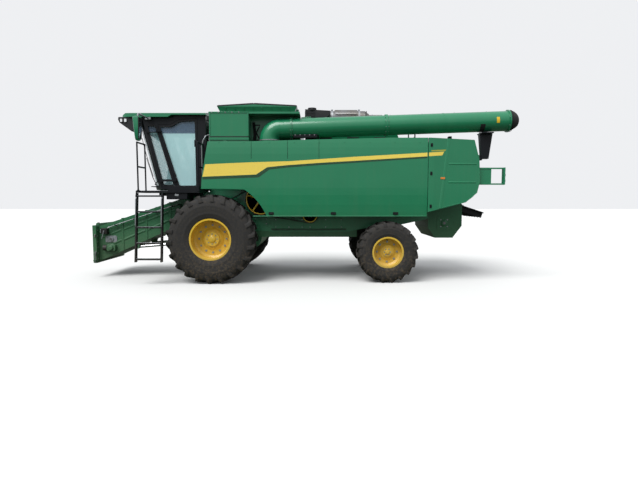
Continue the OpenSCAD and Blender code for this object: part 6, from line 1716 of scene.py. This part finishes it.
latchRod.tube([(-4.585, -0.79, 0.3 + 0.0325), (-4.585, -0.79, 0.52), (-4.57, -0.79, 0.6)],
    [0.01, 0.01, 0.014], 10)
latchRod.make("headerLatchRod", "zinc", "feeder_house")
points = []
for k in range(7):
    x = -2.392 - k * 0.012
    swell = 0.016 if k % 2 else 0.004
    points += [(x, -0.62 - swell, ductLow(x) + 0.02), (x, -0.62 - swell, ductTop(x) + swell),
        (x, 0.62 + swell, ductTop(x) + swell), (x, 0.62 + swell, ductLow(x) + 0.02)]
Shape().put(points, [(i + k, i + k + 1, i + k + 5, i + k + 4) for i in range(0, 24, 4)
    for k in range(3)]).make("feederBoot", "rubber", "feeder_house")
print("feeder dressed")

# Threshing body: pressings, covers and bolts on both walls, elevators and drives
wallSpec = {
    "half": 0.75, "ribX": (-1.3, -0.75, -0.2, 0.35, 0.9, 1.45, 2.0, 2.5),
    "panels": ((-0.55, 0.1, 1.115, 1.34), (0.22, 0.98, 1.115, 1.34), (-1.25, -0.7, 1.19, 1.36)),
}
for sideName, sign in bothSides:
    wall = sign * wallSpec["half"]
    ribs = Shape()
    for x in wallSpec["ribX"]:
        ribs.box(x - 0.022, x + 0.022, wall + sign * gap, wall + sign * 0.016, 1.9
            if sign < 0 else 1.42, 2.28)
    ribs.box(-1.4, 2.7, wall + sign * gap, wall + sign * 0.014, 2.262, 2.284)
    ribs.make("bodyRibs" + sideName, "green", bevel=0.003)
    panel, bolts = Shape(), Shape()
    for x0, x1, z0, z1 in wallSpec["panels"]:
        panel.plate(roundedLoop(rectangle(x0, x1, z0, z1), 0.03, 4), wall + sign * gap, wall + sign * 0.009)
        for x in (x0 + 0.03, (x0 + x1) / 2, x1 - 0.03):
            for z in (z0 + 0.03, z1 - 0.03):
                bolts.join(hexBolt((x, wall + sign * 0.009, z), "y", sign, 0.009, 0.007))
    panel.make("bodyPanels" + sideName, "green", bevel=0.003)
    bolts.make("bodyPanelBolts" + sideName, "zinc")
    lines = Shape()
    for k in range(2):
        z = 1.08 + k * 0.022
        lines.tube([(-0.62, wall + sign * 0.012, z), (0.4, wall + sign * 0.012, z - 0.005),
            (1.06, wall + sign * 0.012, z)], 0.006, 6)
    lines.make("bodyPipes" + sideName, "rubber")
sieve = Shape()
for k in range(11):
    x = -0.55 + k * 0.14
    sieve.box(x - 0.015, x + 0.015, -0.62, 0.62, 1.026, 1.0397)
sieve.make("floorRibs", "green", bevel=0.002)
elevatorBolts = Shape()
for x, z in ((-0.345, 1.25), (-0.315, 1.45), (-0.285, 1.65), (-0.255, 1.85), (-0.225, 2.05)):
    for dx in (-0.115, 0.115):
        elevatorBolts.join(hexBolt((x + dx + 0.02, 0.9403, z), "y", 1, 0.009, 0.007))
elevatorBolts.make("elevatorBolts", "zinc")
elevatorDoor = Shape().plate(roundedLoop(rectangle(-0.52, -0.33, 0.97, 1.14), 0.02), 0.9403, 0.95)
elevatorDoor.turned([(0.001, 0.03), (0.03, 0.028), (0.036, 0.0)], (-0.425, 0.95, 1.06), "y", 24)
elevatorDoor.make("elevatorDoor", "green", bevel=0.002)

pulleys = [(-1.56, 1.56, 0.15, 0), (-0.82, 1.76, 0.33, 2), (0.25, 1.42, 0.17, 1), (1.15, 1.8, 0.24, 3),
    (2.25, 1.6, 0.15, 3)]
hubs, webs, hubBolts = Shape(), Shape(), Shape()
for x, z, r, outer in pulleys:
    y = -0.77 - (outer + 1) * 0.08
    hubs.turned([(0.001, -0.03), (0.03, -0.03), (0.036, -0.024), (0.038, -gap), (0.001, -gap)],
        (x, y, z), "y", 28)
    webs.turned([(r - 0.004, -gap), (r - 0.006, -0.01), (r - 0.026, -0.01), (r - 0.03, -gap)],
        (x, y, z), "y", 56)
    for angle in range(18, 378, 72):
        if r > 0.2:
            webs.tube([onCircle((x, y - 0.004, z), reach, angle) for reach in (0.05, r - 0.028)],
                [0.024, 0.017], 8)
        hubBolts.join(hexBolt(onCircle((x, y - gap, z), 0.055, angle), "y", -1, 0.008, 0.008))
hubs.make("pulleyHubs", "steel")
webs.make("pulleyWebs", "yellow", smoothAngle=45)
hubBolts.make("pulleyBolts", "zinc")
tensioner = Shape().plate(roundedLoop([(-0.34, 1.5), (-0.28, 1.5), (-0.14, 1.8), (-0.2, 1.83)], 0.02),
    -0.8, -0.786)
tensioner.tube([(-0.17, -0.8, 1.8), (-0.17, -0.9, 1.8)], 0.016, 12)
tensioner.turned(rectangle(0.018, 0.06, -0.03, 0.03), (-0.17, -0.875, 1.8), "y", 28)
tensioner.make("beltTensioner", "zinc", bevel=0.002)
Shape().tube([(-0.3 + 0.004 * k, -0.795 + 0.013 * math.cos(k * 1.05),
    1.52 - 0.004 * k + 0.013 * math.sin(k * 1.05)) for k in range(64)], 0.0035,
    6).make("tensionerSpring", "steel")
print("body dressed")

# Axles: bolts, flanges, drive motor, steering ram and their hoses
axleX, axleZ = wheels["front"]["axle"]
for sideName, sign in bothSides:
    bolts = Shape()
    for k in range(14):
        spot = onCircle((axleX, sign * 0.7797, axleZ), 0.215, -170 + k * 160 / 13)
        bolts.join(hexBolt(spot, "y", -sign, 0.011, 0.008))
    bolts.make("finalDriveBolts" + sideName, "zinc")
    Shape().turned(rectangle(0.2203, 0.236, 0.0, 0.018), (axleX, sign * 1.02, axleZ), "y",
        48).make("finalDriveFlange" + sideName, "darkGreen", bevel=0.002)
gear = Shape().turned(rectangle(0.1903, 0.206, -0.018, 0.018), (axleX, -0.02, axleZ), "y", 56)
gear.turned(rectangle(0.1903, 0.202, -0.01, 0.01), (axleX, 0.205, axleZ), "y", 56)
gear.make("gearboxFlange", "darkGreen", bevel=0.002)
motor = Shape().tube([(-1.679, 0.05, 0.98), (-1.6, 0.05, 0.98), (-1.595, 0.05, 0.98), (-1.46, 0.05, 0.98),
    (-1.45, 0.05, 0.98)], [0.085, 0.085, 0.07, 0.07, 0.05], 28)
motor.box(-1.56, -1.5, 0.02, 0.08, 1.04, 1.07)
motor.make("driveMotor", "black", bevel=0.004)
motorHoses = Shape().tube([(-1.53, 0.035, 1.065), (-1.53, 0.03, 1.085), (-1.44, 0.0, 1.1),
    (-1.25, -0.05, 1.08)], 0.014, 8)
motorHoses.tube([(-1.51, 0.065, 1.065), (-1.5, 0.07, 1.085), (-1.42, 0.12, 1.1), (-1.25, 0.16, 1.08)],
    0.014, 8)
motorHoses.make("driveMotorHoses", "rubber")
ram = Shape().tube([(1.77, -0.4, 0.65), (1.77, 0.3, 0.65)], 0.03, 22)
ram.tube([(1.77, -0.43, 0.65), (1.77, -0.385, 0.65)], 0.036, 22)
ram.tube([(1.77, 0.285, 0.65), (1.77, 0.33, 0.65)], 0.036, 22)
ram.box(1.772, 1.8097, -0.34, -0.28, 0.62, 0.68)
ram.box(1.772, 1.8097, 0.18, 0.24, 0.62, 0.68)
ram.make("steeringRam", "black", bevel=0.002)
Shape().tube([(1.77, 0.33, 0.65), (1.77, 0.62, 0.65)], 0.016, 16).make("steeringRamRod", "chrome")
ramHoses = Shape().tube([(1.77, -0.36, 0.682), (1.765, -0.35, 0.76), (1.78, -0.22, 0.86), (1.8, -0.1, 0.9)],
    0.01, 8)
ramHoses.tube([(1.77, 0.26, 0.682), (1.765, 0.25, 0.76), (1.78, 0.12, 0.86), (1.8, 0.0, 0.9)], 0.01, 8)
ramHoses.make("steeringHoses", "rubber")
print("axles dressed")

# Platform, ladders and their grips
platform = {"top": 1.94, "postX": (-3.319, -2.061)}
bar = Shape().box(-0.002, 0.002, -1.465, -0.962, 0.0, 0.006)
repeated("platformGrating", "row", "zinc", "chassis", bar, Count=42, Start=(-3.3, 0, platform["top"] + gap),
    Step=(0.0302, 0, 0))
cross = Shape().box(-3.31, -2.05, -0.0015, 0.0015, 0.0, 0.005)
repeated("platformGratingBars", "row", "zinc", "chassis", cross, Count=13,
    Start=(0, -1.455, platform["top"] + gap), Step=(0, 0.04, 0))
toe = Shape().box(-2.7, -2.05, -1.4797, -1.474, platform["top"] + gap, platform["top"] + 0.1)
toe.box(-2.046, -2.0403, -1.44, -1.03, platform["top"] + gap, platform["top"] + 0.1)
toe.make("toeBoards", "black", bevel=0.0015)
grips = Shape()
for x in platform["postX"]:
    for y in (-1.459, -1.01):
        grips.turned([(0.0165, 0.0), (0.04, 0.0), (0.04, 0.008), (0.022, 0.014), (0.0175, 0.03)],
            (x, y, platform["top"] + gap), "z", 20)
grips.make("railFeet", "black")
Shape().box(-2.74, -2.3, -1.45, -1.2, 1.76, 1.8995).make("toolBox", "black", bevel=0.012)
Shape().box(-2.56, -2.48, -1.462, -1.4503, 1.83, 1.87).make("toolBoxLatch", "zinc", bevel=0.003)
ladder = {
    "treadX": -3.301, "railX": (-3.315, -2.785), "foot": 0.48, "top": 1.894, "steps": 5,
    "lean": 0.13, "outer": -1.492,
}


def ladderY(z):
    return ladder["outer"] - ladder["lean"] * (ladder["top"] - z)


teeth = Shape()
for i in range(ladder["steps"]):
    z = ladder["foot"] + 0.04 + i * (ladder["top"] - ladder["foot"] - 0.12) / (ladder["steps"] - 1) + 0.0303
    for k in range(18):
        for row in range(2):
            x = ladder["treadX"] + 0.02 + k * 0.027
            y = ladderY(z - 0.03) - 0.085 + row * 0.045
            teeth.tube([(x, y, z), (x, y, z + 0.004)], [0.01, 0.007], 8)
teeth.make("ladderTreads", "zinc", "ladder")
handles = Shape()
for x in ladder["railX"]:
    z0, z1 = 1.2, 1.8
    handles.tube([(x, ladderY(z0) - 0.088, z0), (x, ladderY(z0) - 0.128 + 0.02, z0 + 0.03),
        (x, ladderY(z1) - 0.128, z1 - 0.03), (x, ladderY(z1) - 0.088, z1)], 0.01, 10)
handles.make("ladderHandles", "zinc", "ladder")
rubberEnd = Shape()
for x in ladder["railX"]:
    z = ladder["foot"]
    rubberEnd.box(x - 0.017, x + 0.017, ladderY(z) - 0.088, ladderY(z) - 0.004, z - 0.004, z + 0.045)
rubberEnd.make("ladderFeet", "rubber", "ladder", 0.002)
sleeves = Shape()
for i in range(6):
    z = 1.4 + i * 0.28
    for k in range(9):
        y = 0.83 + k * 0.032
        sleeves.turned([(0.0152, -0.004), (0.0185, -0.002), (0.0185, 0.002), (0.0152, 0.004)],
            (3.95, y, z), "y", 14)
sleeves.make("rearLadderGrips", "zinc")

# Rotary screen: holes and hoops
screenSpec = {
    "centre": (0.9, 1.4, 2.4), "pitch": 0.02, "rows": 43, "holeReach": 0.425,
    "hoops": (0.448, 0.3, 0.15),
}
screenX, screenFace, screenZ = screenSpec["centre"]
hole = Shape().disc((0, 0, 0), (0, 0.0005, 0), 0.0062, 6)
repeated("screenHoles", "field", "black", "rotary_screen", hole, Columns=screenSpec["rows"],
    Rows=screenSpec["rows"], Pitch=screenSpec["pitch"], Centre=(screenX, screenFace + gap, screenZ),
    Radius=screenSpec["holeReach"])
hoop = Shape()
for radius in screenSpec["hoops"]:
    hoop.turned([(radius - 0.006, gap), (radius - 0.004, 0.006), (radius + 0.004, 0.006),
        (radius + 0.006, gap)], screenSpec["centre"], "y", 64)
for angle in range(30, 390, 60):
    hoop.tube([onCircle((screenX, screenFace + 0.004, screenZ), reach, angle) for reach in (0.075, 0.44)],
        0.005, 6)
hoop.turned([(0.001, 0.016), (0.06, 0.014), (0.074, gap)], screenSpec["centre"], "y", 36)
hoop.make("screenHoops", "zinc", "rotary_screen")
print("steps and screen dressed")

# Chopper, tailboard and fan: bearings, bolts, strips, vane lever and fan screens
chop = {"half": 0.73, "rotor": (3.26, 1.23), "tail": (3.63, 1.61)}
for sideName, sign in bothSides:
    wall = sign * chop["half"]
    cheek = Shape()
    x, z = chop["rotor"]
    cheek.turned([(0.032, sign * gap), (0.075, sign * gap), (0.075, sign * 0.018), (0.05, sign * 0.034),
        (0.032, sign * 0.034)], (x, wall, z), "y", 32)
    cheek.plate(roundedLoop(rectangle(x - 0.16, x + 0.16, z - 0.16, z + 0.16), 0.05), wall + sign * gap,
        wall + sign * 0.008)
    cheek.make("rotorBearing" + sideName, "darkGreen", bevel=0.002)
    bolts = Shape()
    for k in range(4):
        bolts.join(hexBolt(onCircle((x, wall + sign * 0.0083, z), 0.105, 45 + 90 * k), "y", sign,
            0.011, 0.008))
    for k in range(6):
        bolts.join(hexBolt((2.95 + k * 0.13, wall + sign * gap, 1.86), "y", sign, 0.009, 0.007))
    bolts.make("chopperBolts" + sideName, "zinc")
    Shape().plate(rectangle(2.93, 3.6, 1.845, 1.875), wall + sign * 0.0002,
        wall + sign * 0.003).make("chopperStrip" + sideName, "darkGreen")
tx, tz = chop["tail"]
tailTurn = Matrix.Translation((tx, 0, tz)) @ Matrix.Rotation(math.radians(18), 4, "Y")
lever = Shape()
for k in range(7):
    y = -0.6 + k * 0.2
    lever.tube(placed(tailTurn, ((0.08, y, 0.0263), (0.08, y, 0.048), (0.08, y, 0.052))),
        [0.01, 0.01, 0.014], 10)
lever.tube(placed(tailTurn, ((0.08, -0.62, 0.045), (0.08, 0.62, 0.045))), 0.006, 8)
lever.make("vaneLever", "zinc", "tailboard")
hemTail = Shape().tube(placed(tailTurn, ((0.555, -0.672, 0.02), (0.555, 0.672, 0.02))), 0.009, 8)
for y in (-0.66, 0.66):
    hemTail.tube(placed(tailTurn, ((0.05, y, 0.029), (0.54, y, 0.029))), 0.006, 8)
hemTail.make("tailboardHem", "black", "tailboard")
fanScreen = Shape()
for sign in (-1, 1):
    centre = (-1.18, sign * 0.645, 0.93)
    for radius in (0.06, 0.105, 0.15, 0.195):
        fanScreen.tube(circlePath(centre, radius), 0.003, 6, True)
    for k in range(8):
        fanScreen.tube([onCircle(centre, reach, k * 45) for reach in (0.047, 0.215)], 0.003, 6)
fanScreen.make("fanScreens", "zinc")
print("chopper and fan dressed")
